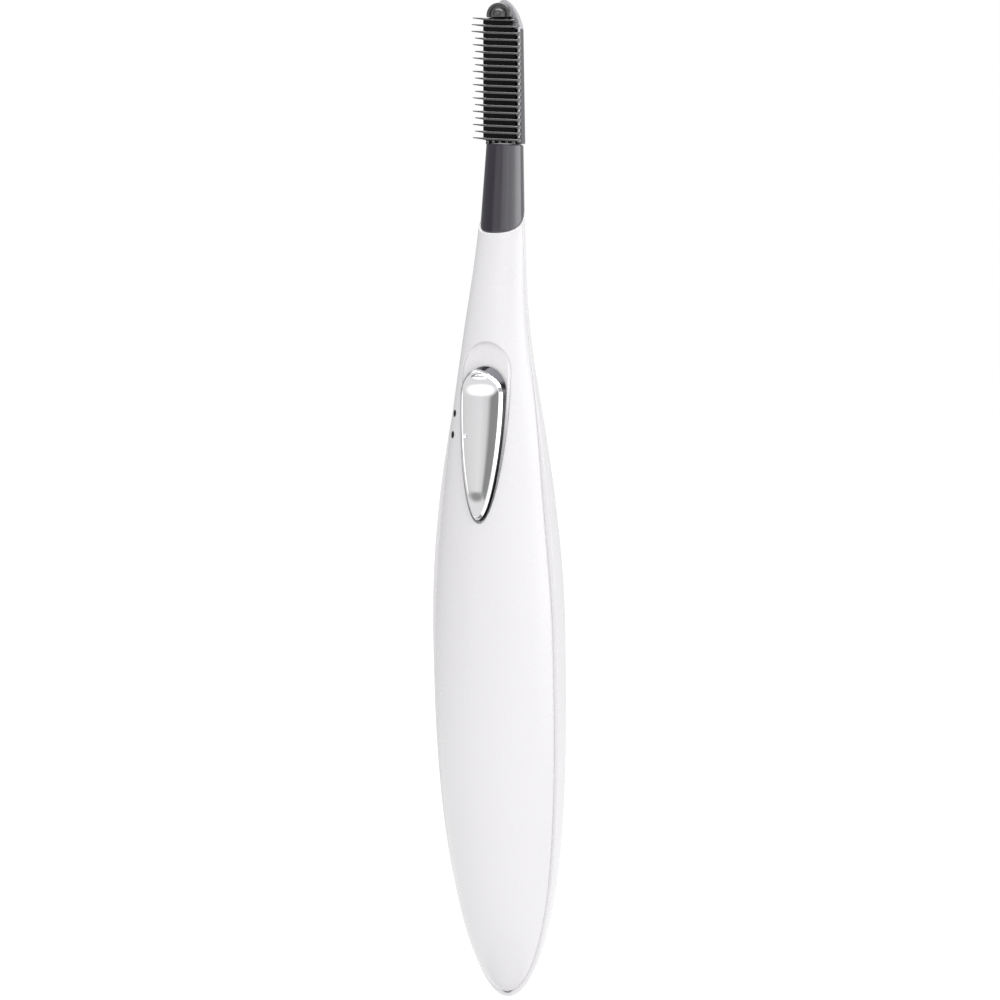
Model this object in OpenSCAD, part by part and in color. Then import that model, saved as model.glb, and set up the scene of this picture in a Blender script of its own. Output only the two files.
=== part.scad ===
// Battery heated eyelash curler: a spindle-shaped handle in two shells, a dark neck,
// and a narrow comb head with a heater behind it. A chrome thumb slide switches it on.
// The handle stands on its tail tip at the origin. +Z runs up to the comb, -Y is the
// front with the switch, and +X is to the right of somebody facing the front.

/* [Handle] */
// Half width of the handle at its widest
belly_r = 9.1; // [8.9:0.01:9.4]
// Height of the widest place above the tail tip
belly_z = 49.3; // [48:0.1:51]
// Exponent of the tail's outline, larger is blunter
tail_fullness = 2.5; // [2.2:0.05:2.6]
// Height of the case's top edge at the front
case_top = 105; // [104:0.5:106]
// Slope of the case's top edge, rising towards the back
top_slope = 0.7; // [0.5:0.05:0.8]
// Wall thickness of the case around the battery
wall = 1.2; // [1.1:0.05:1.25]
// Wall thickness of the case around the neck
neck_wall = 0.75; // [0.6:0.05:0.8]
// Gap between the two case shells at the parting line
parting_gap = 0.06; // [0.04:0.01:0.1]

/* [Battery] */
// Radius of the AAA cell
cell_r = 5.2; // [5:0.05:5.25]
// Length of the AAA cell over its terminal
cell_l = 44.5; // [43.5:0.1:44.5]
// Height of the cell's flat end above the tail tip
cell_z = 23; // [22.5:0.1:23.5]
// Half width of the battery door
door_w = 5.45; // [5.4:0.01:5.5]
// Gap round the battery door
door_gap = 0.15; // [0.1:0.01:0.2]

/* [Switch] */
// Length of the chrome thumb slide
knob_l = 21.4; // [20:0.1:22]
// Half width of the thumb slide at its widest
knob_w = 3.35; // [3:0.05:3.4]
// Travel of the thumb slide from off to on
knob_travel = 3; // [2:0.1:3]
// Height of the thumb slide above the case
knob_rise = 0.95; // [0.6:0.05:1]
// Depth of the sunk landing that the slide runs on
landing_depth = 0.8; // [0.7:0.05:0.9]

/* [Neck and head] */
// Radius of the neck where it meets the case
neck_r = 3.13; // [3:0.01:3.15]
// Radius of the neck below the comb
neck_top_r = 2.54; // [2.5:0.01:2.6]
// Overall height
total_h = 137; // [136:0.5:138]
// Half width of the head frame
head_w = 2.6; // [2.5:0.05:2.7]
// Number of cross fins on the comb
fin_count = 19; // [15:1:19]
// Spacing of the cross fins
fin_pitch = 0.91; // [0.88:0.01:0.91]
// Thickness of a cross fin
fin_t = 0.34; // [0.3:0.01:0.4]

/* [Hidden] */
$fn = 48;

// Colours
white = [0.93, 0.93, 0.94];
smoke = [0.26, 0.25, 0.28];
black = [0.05, 0.05, 0.06];
pale_grey = [0.66, 0.66, 0.68];
copper = [0.80, 0.52, 0.34];
steel = [0.75, 0.76, 0.78];

// Shape of the handle: rows of height, value and slope
shoulder = [[belly_z, belly_r, 0], [63, 8.5, -0.09], [76.8, 6.85, -0.155], [88, 5.03, -0.158],
            [96, 3.98, -0.105], [106, 3.13, -0.07], [118, 2.5, -0.03]];
centre_line = [[0, 0, -0.1], [20, -1.55, -0.067], [49.3, -3.05, -0.02], [72, -3.4, -0.03],
               [90, -4.2, 0], [98.5, -3.3, 0.19], [106, -2, 0.13], [118, -1, 0]];
parting_line = [[0, -0.1, -0.05], [5.4, -0.55, -0.12], [16, -1.9, -0.14], [49.3, -4.9, -0.05],
                [66, -5.55, 0], [90.5, -3.9, 0.11], [112, -1.8, 0.1]];

// Sections: both shells are round at the top. Lower down the front one is an ellipse set in from
// the rear one, and the rear one has flatter sides and is widest at the parting line.
front_inset = 0.037;
front_lift = 0.75;
rear_power = 2.6;
front_depth = 0.93;
rear_depth = 0.89;
round_depth = 0.97;
blend_low = 58;
blend_high = 100;
flat_tail = 0.12;
tail_zone = 12;
tail_rings = 8;
body_rings = 30;
arc_steps = 14;

// Switch frame: on the front line of the case, leaning back with it
switch_z = 76.5;
switch_y = -9.95;
switch_tilt = 5.6;
stem_w = 1.1;
stem_l = 8;
inner_boost = 1.7;
run_gap = 0.3;
slider_y = 3.3;
board_y = 5.1;

// Battery door: its ends, and the depth that its side cuts start from
door_low = 17.5;
door_high = 71.5;
door_edge = -1.2;

// Cell frame: the cell leans forward inside the handle
cell_y = -1.85;
cell_tilt = 1.42;

// Neck frame
neck_y = -2.05;
neck_z = 104;
neck_h = 13.2;
neck_tilt = 4.7;
spigot_tilt = 11;
spigot_r = 1.8;
spigot_l = 7;
spigot_root = 6;
lead_bore = 1.2;
plug_r = 1.9;
plug_z = 112.5;

// Head
head_z = 117.25;
frame_top = 132.9;
head_front = -1.5;
head_back = 1.2;
head_wall = 0.6;
head_round = 1.5;
fin_z = 118.35;
fin_half = 2.72;
fin_front = -2.95;
fin_roll = 3;
disc_r = 1.9;
disc_z = 134.85;
lead_r = 0.35;

function ramp(low, high, z) = let (t = min(1, max(0, (z - low) / (high - low)))) t * t * (3 - 2 * t);
function span(rows, z, i = 0) = i >= len(rows) - 2 || z < rows[i + 1][0] ? i : span(rows, z, i + 1);
function along(rows, z) =
    let (i = span(rows, z), a = rows[i], b = rows[i + 1], h = b[0] - a[0], t = (z - a[0]) / h)
    a[1] * (1 + 2 * t) * pow(1 - t, 2) + a[2] * h * t * pow(1 - t, 2)
    + b[1] * t * t * (3 - 2 * t) + b[2] * h * t * t * (t - 1);
function mix(low, high, t) = low + (high - low) * t;
function half_width(z, lift) =
    z < belly_z ? belly_r * sqrt(1 - pow(1 - (z - lift) / (belly_z - lift), tail_fullness)) : along(shoulder, z);
function top_blend(z) = ramp(blend_low, blend_high, z);
function wall_at(z) = mix(wall, neck_wall, ramp(85, case_top, z));
function boost(z) = inner_boost * ramp(67, 71, z) * (1 - ramp(92, 97, z));

// Centre, half width and depth of a shell's section: side is -1 for the front, 1 for the rear
function centre(z, side) = side < 0 ? along(centre_line, z) : along(parting_line, z) + parting_gap / 2;
function reach(z, side) =
    let (r = half_width(z, side < 0 ? front_lift : 0), t = top_blend(z))
    side < 0 ? [r * (1 - front_inset * (1 - t)), r * mix(front_depth, round_depth, t)]
             : [r, along(centre_line, z) + r * mix(rear_depth, round_depth, t) - centre(z, side)];
function front_angle(z, depth) =
    asin(min(0.9, max(-0.9, (along(parting_line, z) - parting_gap / 2 - along(centre_line, z)) / depth)));
function bulge(v, power) = sign(v) * pow(abs(v), 2 / power);

// One point of a shell's section, at u from 0 on the right to 1 on the left
function shell_point(z, side, inset, u) =
    let (e = reach(z, side), w = max(0.2 * e[0], e[0] - inset), d = max(0.2 * e[1], e[1] - inset),
         start = front_angle(z, d), a = side < 0 ? start - u * (180 + 2 * start) : 180 * u,
         power = side < 0 ? 2 : mix(rear_power, 2, top_blend(z)),
         front = side < 0 && inset > 0 ? boost(z) * pow(max(0, -sin(a)), 2) : 0,
         y = centre(z, side) + (d - front) * bulge(sin(a), power))
    [(w - front) * bulge(cos(a), power), y,
     z + top_slope * ramp(case_top - 10, case_top, z) * (y + front_top())];
function front_top() = -(along(centre_line, case_top) - reach(case_top, -1)[1]);
function shell_ring(z, side) = concat(
    [for (i = [0:arc_steps]) shell_point(z, side, 0, i / arc_steps)],
    [for (i = [arc_steps:-1:0]) shell_point(z, side, wall_at(z), i / arc_steps)]);
function heights(low) = concat([for (i = [0:tail_rings]) low + tail_zone * pow(i / tail_rings, 2)],
    [for (i = [1:body_rings]) low + tail_zone + i * (case_top - low - tail_zone) / body_rings]);

// Closed solid through rings of equal point counts
module loft(rings, flip = false) {
    n = len(rings[0]);
    last = len(rings) - 1;
    side = [for (k = [0:last - 1], i = [0:n - 1])
        let (a = k * n + i, b = k * n + (i + 1) % n) each [[a, b + n, b], [a, a + n, b + n]]];
    half = n / 2;
    cap = [for (i = [0:half - 2]) each [[i, i + 1, n - 2 - i], [i, n - 2 - i, n - 1 - i]]];
    low = [for (f = cap) f];
    high = [for (f = cap) [last * n + f[0], last * n + f[2], last * n + f[1]]];
    faces = concat(side, low, high);
    polyhedron([for (r = rings) each r], flip ? [for (f = faces) [f[0], f[2], f[1]]] : faces);
}

// Round lead along hand-chosen points
module lead(points, r = lead_r, sides = 8) {
    last = len(points) - 1;
    rings = [for (k = [0:last])
        let (d = points[min(last, k + 1)] - points[max(0, k - 1)], t = d / norm(d),
             s = cross(t, [0, 1, 0.2]), u = s / norm(s), v = cross(t, u))
        [for (i = [0:sides - 1]) points[k] + r * (cos(360 * i / sides) * u + sin(360 * i / sides) * v)]];
    tube(rings);
}

// Closed tube through round rings
module tube(rings) {
    n = len(rings[0]);
    last = len(rings) - 1;
    side = [for (k = [0:last - 1], i = [0:n - 1])
        let (a = k * n + i, b = k * n + (i + 1) % n) each [[a, b + n, b], [a, a + n, b + n]]];
    low = [[for (i = [0:n - 1]) i]];
    high = [[for (i = [n - 1:-1:0]) last * n + i]];
    polyhedron([for (r = rings) each r], concat(side, low, high));
}

module at_switch() translate([0, switch_y, switch_z]) rotate([-switch_tilt, 0, 0]) children();
module at_cell() translate([0, cell_y, cell_z]) rotate([cell_tilt, 0, 0]) children();
module at_neck(tilt = neck_tilt) translate([0, neck_y, neck_z]) rotate([-tilt, 0, 0]) children();
module along_y(from, to, r) translate([0, from, 0]) rotate([-90, 0, 0]) cylinder(r = r, h = to - from);
module block(low, high) translate(low) cube(high - low);

// Teardrop outline of the thumb slide in x and z, grown by a margin and drawn out upwards
widest = 0.818 * knob_l;
function teardrop_x(s, grow) =
    s > widest ? (knob_w + grow) * sqrt(max(0, 1 - pow((s - widest) / (knob_l + grow - widest), 2)))
               : (knob_w + grow) * sqrt(max(0, 1 - pow((widest - s) / (widest + grow), 1.7)));
module teardrop(grow = 0, drawn = 0) {
    steps = 14;
    low = [for (i = [0:steps]) -grow + (widest + grow) * pow(i / steps, 2)];
    high = [for (i = [steps - 1:-1:0]) knob_l + grow - (knob_l + grow - widest) * pow(i / steps, 2)];
    right = concat([for (s = low) [teardrop_x(s, grow), s]],
                   [for (s = concat([widest], high)) [teardrop_x(s, grow), s + drawn]]);
    points = [for (i = [0:len(right) - 1]) if (i == 0 || right[i] != right[i - 1]) right[i]];
    inner = [for (p = points) if (p[0] > 0.01) p];
    polygon(concat([[0, -grow]], inner, [[0, knob_l + grow + drawn]],
                   [for (i = [len(inner) - 1:-1:0]) [-inner[i][0], inner[i][1]]]));
}
module knob_prism(from, to, grow = 0, drawn = 0)
    translate([0, to, -knob_l / 2]) rotate([90, 0, 0]) linear_extrude(to - from) teardrop(grow, drawn);

// Screws: rows of height, underside of the head, free end and root of the rear boss, root of the front boss
screw_rows = [[12.5, 1.8, 0.85, 4.2, -6.2], [94, -1.2, -2.2, -0.3, -7]];
screw_head_r = 1.2;
screw_r = 0.7;
screw_l = 5;

module front_case() color(white) {
    difference() {
        union() {
            loft([for (z = heights(front_lift + flat_tail)) shell_ring(z, -1)], true);
            for (s = screw_rows) translate([0, 0, s[0]]) along_y(s[4], s[2] - 0.1, 1.45);
        }
        at_switch() knob_prism(-3, landing_depth, run_gap / 2, knob_travel);
        at_switch() block([-stem_w - run_gap, 0, -stem_l / 2 - run_gap],
                          [stem_w + run_gap, 5, stem_l / 2 + knob_travel + run_gap]);
        for (s = screw_rows) translate([0, 0, s[0]]) along_y(s[1] - screw_l - 0.2, s[2] + 1, screw_r + 0.02);
    }
}
module rear_shell() loft([for (z = heights(flat_tail)) shell_ring(z, 1)]);
module rear_case() color(white) {
    difference() {
        union() {
            rear_shell();
            for (s = screw_rows) translate([0, 0, s[0]]) along_y(s[2], s[3], 1.95);
        }
        block([-door_w, door_edge, door_low], [door_w, 12, door_high]);
        for (s = screw_rows) translate([0, 0, s[0]]) {
            along_y(s[2] - 1, s[1] + 2, screw_r + 0.1);
            along_y(s[1], s[1] + 8, screw_head_r + 0.15);
        }
    }
}
module battery_door() color(white) intersection() {
    rear_shell();
    block([-door_w + door_gap, door_edge, door_low + door_gap], [door_w - door_gap, 12, door_high - door_gap]);
}

module neck_sleeve() color(smoke) difference() {
    union() {
        intersection() {
            at_neck() cylinder(r1 = neck_r, r2 = neck_top_r, h = neck_h);
            translate([0, -front_top(), case_top + 0.05]) rotate([atan(top_slope), 0, 0])
                block([-8, -8, 0], [8, 16, 30]);
        }
        at_neck(spigot_tilt) translate([0, 0, -spigot_l]) cylinder(r = spigot_r, h = spigot_l);
        at_neck() cylinder(r = spigot_r - 0.1, h = spigot_root);
    }
    at_neck(spigot_tilt) translate([0, 0, -spigot_l - 1]) cylinder(r = lead_bore - 0.05, h = spigot_l + 1.3);
    at_neck() translate([0, 0, -0.2]) cylinder(r = lead_bore, h = neck_h + 2);
    at_neck() translate([0, 0, plug_z - neck_z - 0.1]) cylinder(r = plug_r + 0.05, h = neck_h);
}
module neck_seal() color(black) at_neck(spigot_tilt) translate([0, 0, -4])
    rotate_extrude() translate([spigot_r + 0.24, 0]) circle(r = 0.22, $fn = 24);

// Section of the head: square at the front, rounded at the back
module head_section(w, back, r) {
    translate([-w, head_front]) square([2 * w, back - r - head_front]);
    translate([-w + r, head_front]) square([2 * (w - r), back - head_front]);
    for (s = [-1, 1]) translate([s * (w - r), back - r]) circle(r = r);
}
module head_frame() color(smoke) difference() {
    union() {
        translate([0, 0, head_z]) linear_extrude(frame_top - head_z) head_section(head_w, head_back, head_round);
        at_neck() translate([0, 0, plug_z - neck_z]) cylinder(r = plug_r, h = neck_h - plug_z + neck_z + 0.3);
    }
    translate([0, 0, head_z + head_wall]) linear_extrude(frame_top)
        head_section(head_w - head_wall, head_back - head_wall, head_round - head_wall);
    block([-3, head_front - 1, head_z + head_wall], [3, head_front + 0.01, total_h]);
    at_neck() cylinder(r = lead_bore, h = 30);
}
tip_z = frame_top + 0.04;
module tip_outline(w, drop)
    polygon(concat([[-w, tip_z], [w, tip_z]],
                   [for (i = [1:17]) [w * cos(10 * i), tip_z + (total_h - drop - tip_z) * sin(10 * i)]]));
module tip_guard() color(pale_grey) intersection() {
    translate([0, head_back + 1, 0]) rotate([90, 0, 0]) linear_extrude(head_back + 1 - head_front - 0.05)
        tip_outline(head_w, 0);
    rotate([90, 0, 90]) linear_extrude(8, center = true)
        polygon(concat([[head_front - 1, tip_z]],
                       [for (i = [0:9]) [head_front + 0.1 + (head_back - head_front - 0.1) * cos(10 * i),
                                         tip_z + (total_h - tip_z) * sin(10 * i)]],
                       [[head_front - 1, total_h]]));
}

// Comb: a flat spine with cross fins, each drawn out into one needle tooth on the left
module fin(long) rotate([0, fin_roll, 0]) linear_extrude(fin_t)
    polygon(concat([[fin_half - 0.25, head_front - 0.1]], [[fin_half, head_front - 0.4]],
                   [for (i = [0:8]) let (t = 1 - i / 4) [(fin_half - 0.12) * t, fin_front + 0.35 * t * t]],
                   [[-fin_half - (long ? 1.5 : 1.1), fin_front + 0.05],
                    [-fin_half - 0.05, head_front - 0.6], [-fin_half + 0.25, head_front - 0.1]]));
module comb() color(black) difference() {
    union() {
        block([-head_w + head_wall + 0.05, head_front - 0.5, head_z + head_wall + 0.05],
              [head_w - head_wall - 0.05, head_front + 0.2, frame_top]);
        block([-disc_r, head_front - 0.5, frame_top], [disc_r, head_front - 0.05, disc_z]);
        translate([0, 0, disc_z]) along_y(fin_front - 0.25, head_front - 0.05, disc_r);
        for (i = [0:fin_count - 1]) translate([0, 0, fin_z + i * fin_pitch - fin_t / 2]) fin(i % 2 == 0);
    }
    translate([0, 0, disc_z + 0.15]) {
        difference() {
            along_y(fin_front - 1, fin_front, 1.25);
            along_y(fin_front - 2, fin_front + 1, 1.05);
        }
        along_y(fin_front - 1, 0, 0.62);
    }
}
module comb_pin() color(black) translate([0, 0, disc_z + 0.15]) {
    along_y(fin_front + 0.15, head_front - 0.1, 0.6);
    translate([0, fin_front - 0.1, 0]) along_y(0, 0.25, 0.6);
}

module heater_plate() color(steel) block([-1.85, head_front + 0.25, head_z + 1.2], [1.85, head_front + 0.6, frame_top - 0.2]);
module heater_element() color([0.35, 0.3, 0.28])
    block([-1.4, head_front + 0.65, head_z + 2], [1.4, head_front + 1.1, frame_top - 1]);
module heater_insulator() color([0.85, 0.8, 0.66])
    block([-1.45, head_front + 1.15, head_z + 2], [1.45, head_front + 1.6, frame_top - 1]);
heater_route = [[1.6, -3, 88.5], [2.1, -3.4, 91], [2.3, -3.6, 94], [1.5, -3.55, 95.6], [0.55, -3.4, 96.9],
                [0.5, -2.15, 103.5], [0.5, -1.4, 112], [0.5, -0.75, 117], [0.6, -0.25, 118.6]];
module heater_leads() color([0.75, 0.2, 0.15])
    for (s = [-1, 1]) lead([for (p = heater_route) [s * p[0], p[1], p[2]]]);
module thermal_fuse() color(pale_grey) at_switch() translate([0, board_y + 1.9, 4]) cylinder(r = 0.85, h = 5);

module switch_knob() color(steel) at_switch() difference() {
    union() {
        knob_prism(-knob_rise, landing_depth - run_gap);
        block([-stem_w, 0, -stem_l / 2], [stem_w, slider_y, stem_l / 2]);
    }
    translate([-8, -knob_rise - 61.6, -0.5]) rotate([0, 90, 0]) cylinder(r = 62, h = 16, $fn = 180);
}
module switch_slider() color(black) at_switch() block([-2.6, slider_y, -5], [2.6, slider_y + 0.9, 5]);
module switch_wiper() color(copper) at_switch() {
    block([-1.8, slider_y + 0.9, -3.2], [1.8, slider_y + 1.1, 3.2]);
    for (s = [-1, 1]) block([s * 1.2 - 0.35, slider_y + 1.05, -3], [s * 1.2 + 0.35, slider_y + 1.45, -2]);
}
module detent_spring() color(steel) at_switch() {
    block([2.95, board_y - 1.6, -2.4], [3.1, board_y, 5.4]);
    block([3.05, board_y - 0.2, -2.4], [4, board_y, 5.4]);
}
module switch_board() color([0.62, 0.5, 0.3]) at_switch() translate([0, board_y + 0.8, -5.5]) rotate([90, 0, 0])
    linear_extrude(0.8) polygon([[-5, 0], [5, 0], [4.6, 8], [2.7, 18], [-2.7, 18], [-4.6, 8]]);
module contact_pads() color(copper) at_switch()
    for (x = [-1.2, 1.2], z = [-3.6, 0.2]) block([x - 0.6, board_y - 0.08, z], [x + 0.6, board_y, z + 2.6]);

module battery_cell() color([0.2, 0.22, 0.26]) at_cell() {
    cylinder(r = cell_r, h = cell_l - 1.2);
    cylinder(r = 1.9, h = cell_l);
}
module battery_cradle() color(pale_grey) at_cell() difference() {
    union() {
        translate([0, 0, -0.6]) cylinder(r = cell_r + 0.6, h = 46.5);
        translate([0, 0, -5.7]) cylinder(r = cell_r - 0.1, h = 5.7);
    }
    cylinder(r = cell_r + 0.1, h = 45.1);
    translate([0, 0, -5]) cylinder(r = 4.4, h = 6);
    block([-7, 0, -6], [7, 7, 47]);
}
module positive_contact() color(steel) at_cell() union() {
    translate([0, 0, cell_l + 0.05]) cylinder(r = 2.4, h = 0.3);
    block([1.6, -0.8, cell_l + 0.05], [4.6, 0.8, cell_l + 0.35]);
}
module negative_contact() color(steel) at_cell() union() {
    translate([0, 0, -4.9]) cylinder(r = 4.2, h = 0.3);
    block([-5, 0.1, -4.9], [-3, 1.7, -4.6]);
}
spring_turns = 4.5;
module negative_spring() color(steel) at_cell() {
    steps = 72;
    rings = [for (k = [0:steps])
        let (t = k / steps, a = 360 * spring_turns * t, r = mix(3.6, 1.8, t), z = mix(-4.33, -0.3, t),
             out = [cos(a), sin(a), 0])
        [for (i = [0:5]) out * (r + 0.25 * cos(60 * i)) + [0, 0, z + 0.25 * sin(60 * i)]]];
    tube([for (r = rings) [for (i = [5:-1:0]) r[i]]]);
}
module positive_lead() color([0.7, 0.15, 0.12])
    lead([[4.2, -2.45, 68.25], [4.4, -2.5, 69.6], [4, -2.9, 71], [3.4, -3, 72.5], [3, -3.1, 74]]);
module negative_lead() color([0.1, 0.1, 0.12])
    lead([[-4.4, -0.7, 18.9], [-5.6, -0.75, 20], [-5.95, -0.9, 22], [-6, -1.3, 35], [-6, -1.8, 50],
          [-6, -2.15, 64], [-5.6, -2.4, 68], [-4.6, -2.8, 71], [-3.6, -3, 72.5], [-3, -3.1, 74]]);
module case_screws() color(steel) for (s = screw_rows) translate([0, 0, s[0]]) {
    along_y(s[1] - screw_l, s[1] + 0.1, screw_r);
    difference() {
        along_y(s[1], s[1] + 0.8, screw_head_r);
        for (a = [0, 90]) rotate([0, a, 0]) block([-0.8, s[1] + 0.4, -0.15], [0.8, s[1] + 1, 0.15]);
    }
}

front_case();
rear_case();
battery_door();
neck_sleeve();
neck_seal();
head_frame();
tip_guard();
comb();
comb_pin();
heater_plate();
heater_element();
heater_insulator();
heater_leads();
thermal_fuse();
switch_knob();
switch_slider();
switch_wiper();
detent_spring();
switch_board();
contact_pads();
battery_cell();
battery_cradle();
positive_contact();
negative_contact();
negative_spring();
positive_lead();
negative_lead();
case_screws();
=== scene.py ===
"""Looks of the battery heated eyelash curler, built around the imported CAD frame.

Pieces are modelled in millimetres at their own place in the row frame and handed over in metres.
"""

import logging
from collections.abc import Iterable, Sequence
from dataclasses import dataclass
from enum import Enum
from math import asin, cos, pi, radians, sin, sqrt

import bpy
from mathutils import Matrix, Vector


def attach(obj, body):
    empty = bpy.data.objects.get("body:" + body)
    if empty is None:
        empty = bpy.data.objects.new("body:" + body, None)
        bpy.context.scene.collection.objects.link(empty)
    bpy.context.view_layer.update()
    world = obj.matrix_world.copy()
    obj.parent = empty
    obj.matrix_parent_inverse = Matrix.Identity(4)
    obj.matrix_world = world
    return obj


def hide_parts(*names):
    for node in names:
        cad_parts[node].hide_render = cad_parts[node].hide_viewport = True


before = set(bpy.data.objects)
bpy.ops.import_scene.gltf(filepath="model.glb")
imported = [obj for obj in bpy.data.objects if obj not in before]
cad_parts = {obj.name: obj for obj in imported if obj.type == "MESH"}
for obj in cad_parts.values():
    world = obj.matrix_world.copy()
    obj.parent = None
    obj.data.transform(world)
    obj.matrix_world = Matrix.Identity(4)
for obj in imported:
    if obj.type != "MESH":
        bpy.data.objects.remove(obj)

Vec = tuple[float, float, float]
Flat = tuple[float, float]
Colour = tuple[float, float, float]
Rows = tuple[tuple[float, float, float], ...]
Piece = bpy.types.Object
Tree = bpy.types.NodeTree
Node = bpy.types.Node
Socket = bpy.types.NodeSocket
Value = bpy.types.NodeSocket | float

MM = 0.001
WELD = 1e-4
CORNER = 0.3  # where the middle of a rounded edge lies, as a share of its width
AUTO_WEIGHT = 60
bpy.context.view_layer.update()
log = logging.getLogger("lash_curler")


class Body(Enum):
    """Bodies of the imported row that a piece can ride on."""

    ROOT = "root"
    SWITCH = "switch"
    DOOR = "door"


class Side(Enum):
    """The two shells of the case: which way each lies from the parting line."""

    FRONT = -1
    REAR = 1


# ---------------------------------------------------------------- small sums


def ramp(low: float, high: float, at: float) -> float:
    """Smooth step from 0 at low to 1 at high.

    Args:
        low: where the step starts.
        high: where the step ends.
        at: where it is read.

    Returns:
        The step's value, from 0 to 1.
    """
    t = min(1.0, max(0.0, (at - low) / (high - low)))
    return t * t * (3 - 2 * t)


def mix(low: float, high: float, share: float) -> float:
    """Returns the value between low and high at that share."""
    return low + (high - low) * share


def along(rows: Rows, z: float) -> float:
    """Reads a curve given as rows of height, value and slope.

    Args:
        rows: the curve's rows, lowest first.
        z: height to read at.

    Returns:
        The curve's value there.
    """
    i = 0
    while i < len(rows) - 2 and z >= rows[i + 1][0]:
        i += 1
    (z0, v0, s0), (z1, v1, s1) = rows[i], rows[i + 1]
    h = z1 - z0
    t = (z - z0) / h
    return (v0 * (1 + 2 * t) * (1 - t) ** 2 + s0 * h * t * (1 - t) ** 2
            + v1 * t * t * (3 - 2 * t) + s1 * h * t * t * (t - 1))


def bulge(value: float, power: float) -> float:
    """Turns a sine or cosine into that of a flatter-sided curve of the given power."""
    return (1 if value >= 0 else -1) * abs(value) ** (2 / power)


# ---------------------------------------------------------------- the workbench


class Bench:
    """The workbench: each step is an operator on one piece, in millimetres."""

    @staticmethod
    def clear() -> None:
        """Leaves edit mode and lets go of every object."""
        if bpy.context.object and bpy.context.object.mode != "OBJECT":
            bpy.ops.object.mode_set(mode="OBJECT")
        bpy.ops.object.select_all(action="DESELECT")

    @staticmethod
    def take(*pieces: Piece) -> None:
        """Selects only these pieces and makes the first one active.

        Args:
            pieces: the pieces to select.
        """
        Bench.clear()
        for piece in pieces:
            piece.select_set(True)
        bpy.context.view_layer.objects.active = pieces[0]

    @staticmethod
    def settle(name: str) -> Piece:
        """Names the primitive just added and puts its place into its mesh.

        Args:
            name: the piece's name.

        Returns:
            The piece, its object at the origin.
        """
        piece = bpy.context.object
        piece.name = piece.data.name = name
        bpy.ops.object.transform_apply(location=True, rotation=True, scale=True)
        return piece

    @staticmethod
    def block(name: str, low: Vec, high: Vec) -> Piece:
        """Adds a block between two corners.

        Args:
            name: the piece's name.
            low: its lowest corner.
            high: its highest corner.

        Returns:
            The block.
        """
        Bench.clear()
        middle = [(a + b) / 2 for a, b in zip(low, high)]
        size = [b - a for a, b in zip(low, high)]
        bpy.ops.mesh.primitive_cube_add(size=1, location=middle, scale=size)
        return Bench.settle(name)

    @staticmethod
    def rod(name: str, start: Vec, end: Vec, radius: float, end_radius: float | None = None,
            sides: int = 32) -> Piece:
        """Adds a straight rod or cone.

        Args:
            name: the piece's name.
            start: middle of one end.
            end: middle of the other end.
            radius: radius at the start.
            end_radius: radius at the end, or None for the same.
            sides: number of sides.

        Returns:
            The rod.
        """
        Bench.clear()
        a, b = Vector(start), Vector(end)
        turn = Vector((0, 0, 1)).rotation_difference(b - a).to_euler()
        bpy.ops.mesh.primitive_cone_add(vertices=sides, radius1=radius, depth=(b - a).length,
                                        radius2=radius if end_radius is None else end_radius,
                                        location=(a + b) / 2, rotation=turn)
        return Bench.settle(name)

    @staticmethod
    def skin(name: str, rings: Sequence[Sequence[Vec]], closed: bool = True) -> Piece:
        """Drapes a grid over rings of points, then welds its seam and poles.

        Args:
            name: the piece's name.
            rings: rings of equal point counts, or a single point for a pole.
            closed: whether each ring runs back to its start.

        Returns:
            The skin, its faces pointing outwards.
        """
        count = max(len(ring) for ring in rings)
        full = [list(ring) if len(ring) > 1 else list(ring) * count for ring in rings]
        if closed:
            full = [ring + ring[:1] for ring in full]
        columns, rows = len(full[0]) - 1, len(full) - 1
        Bench.clear()
        bpy.ops.mesh.primitive_grid_add(x_subdivisions=columns, y_subdivisions=rows, size=1)
        piece = Bench.settle(name)
        for point in piece.data.vertices:
            point.co = full[round((point.co.y + 0.5) * rows)][round((point.co.x + 0.5) * columns)]
        Bench.weld(piece)
        return piece

    @staticmethod
    def weld(piece: Piece) -> None:
        """Merges doubles and turns every face outwards.

        Args:
            piece: the piece to clean.
        """
        Bench.take(piece)
        bpy.ops.object.mode_set(mode="EDIT")
        bpy.ops.mesh.select_all(action="SELECT")
        bpy.ops.mesh.remove_doubles(threshold=WELD)
        bpy.ops.mesh.dissolve_degenerate(threshold=WELD)
        bpy.ops.mesh.normals_make_consistent(inside=False)
        bpy.ops.object.mode_set(mode="OBJECT")

    @staticmethod
    def apply(piece: Piece, kind: str, **settings: object) -> None:
        """Adds a modifier with these settings and applies it.

        Args:
            piece: the piece to change.
            kind: the modifier's type.
            settings: the modifier's settings, by name.
        """
        Bench.take(piece)
        modifier = piece.modifiers.new(kind.title(), kind)
        for key, value in settings.items():
            setattr(modifier, key, value)
        bpy.ops.object.modifier_apply(modifier=modifier.name)

    @staticmethod
    def cut(piece: Piece, tool: Piece, how: str = "DIFFERENCE") -> None:
        """Cuts a piece with a tool, which is used up."""
        Bench.apply(piece, "BOOLEAN", operation=how, solver="EXACT", object=tool)
        bpy.data.objects.remove(tool)

    @staticmethod
    def ease(piece: Piece, width: float, segments: int = 2, angle: float = 40) -> None:
        """Rounds every edge sharper than the angle."""
        Bench.apply(piece, "BEVEL", width=width, segments=segments, limit_method="ANGLE",
                    angle_limit=radians(angle))

    @staticmethod
    def join(pieces: Sequence[Piece]) -> Piece:
        """Joins pieces into the first.

        Args:
            pieces: the pieces to join.

        Returns:
            The joined piece.
        """
        Bench.take(*pieces)
        bpy.ops.object.join()
        return pieces[0]

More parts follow.
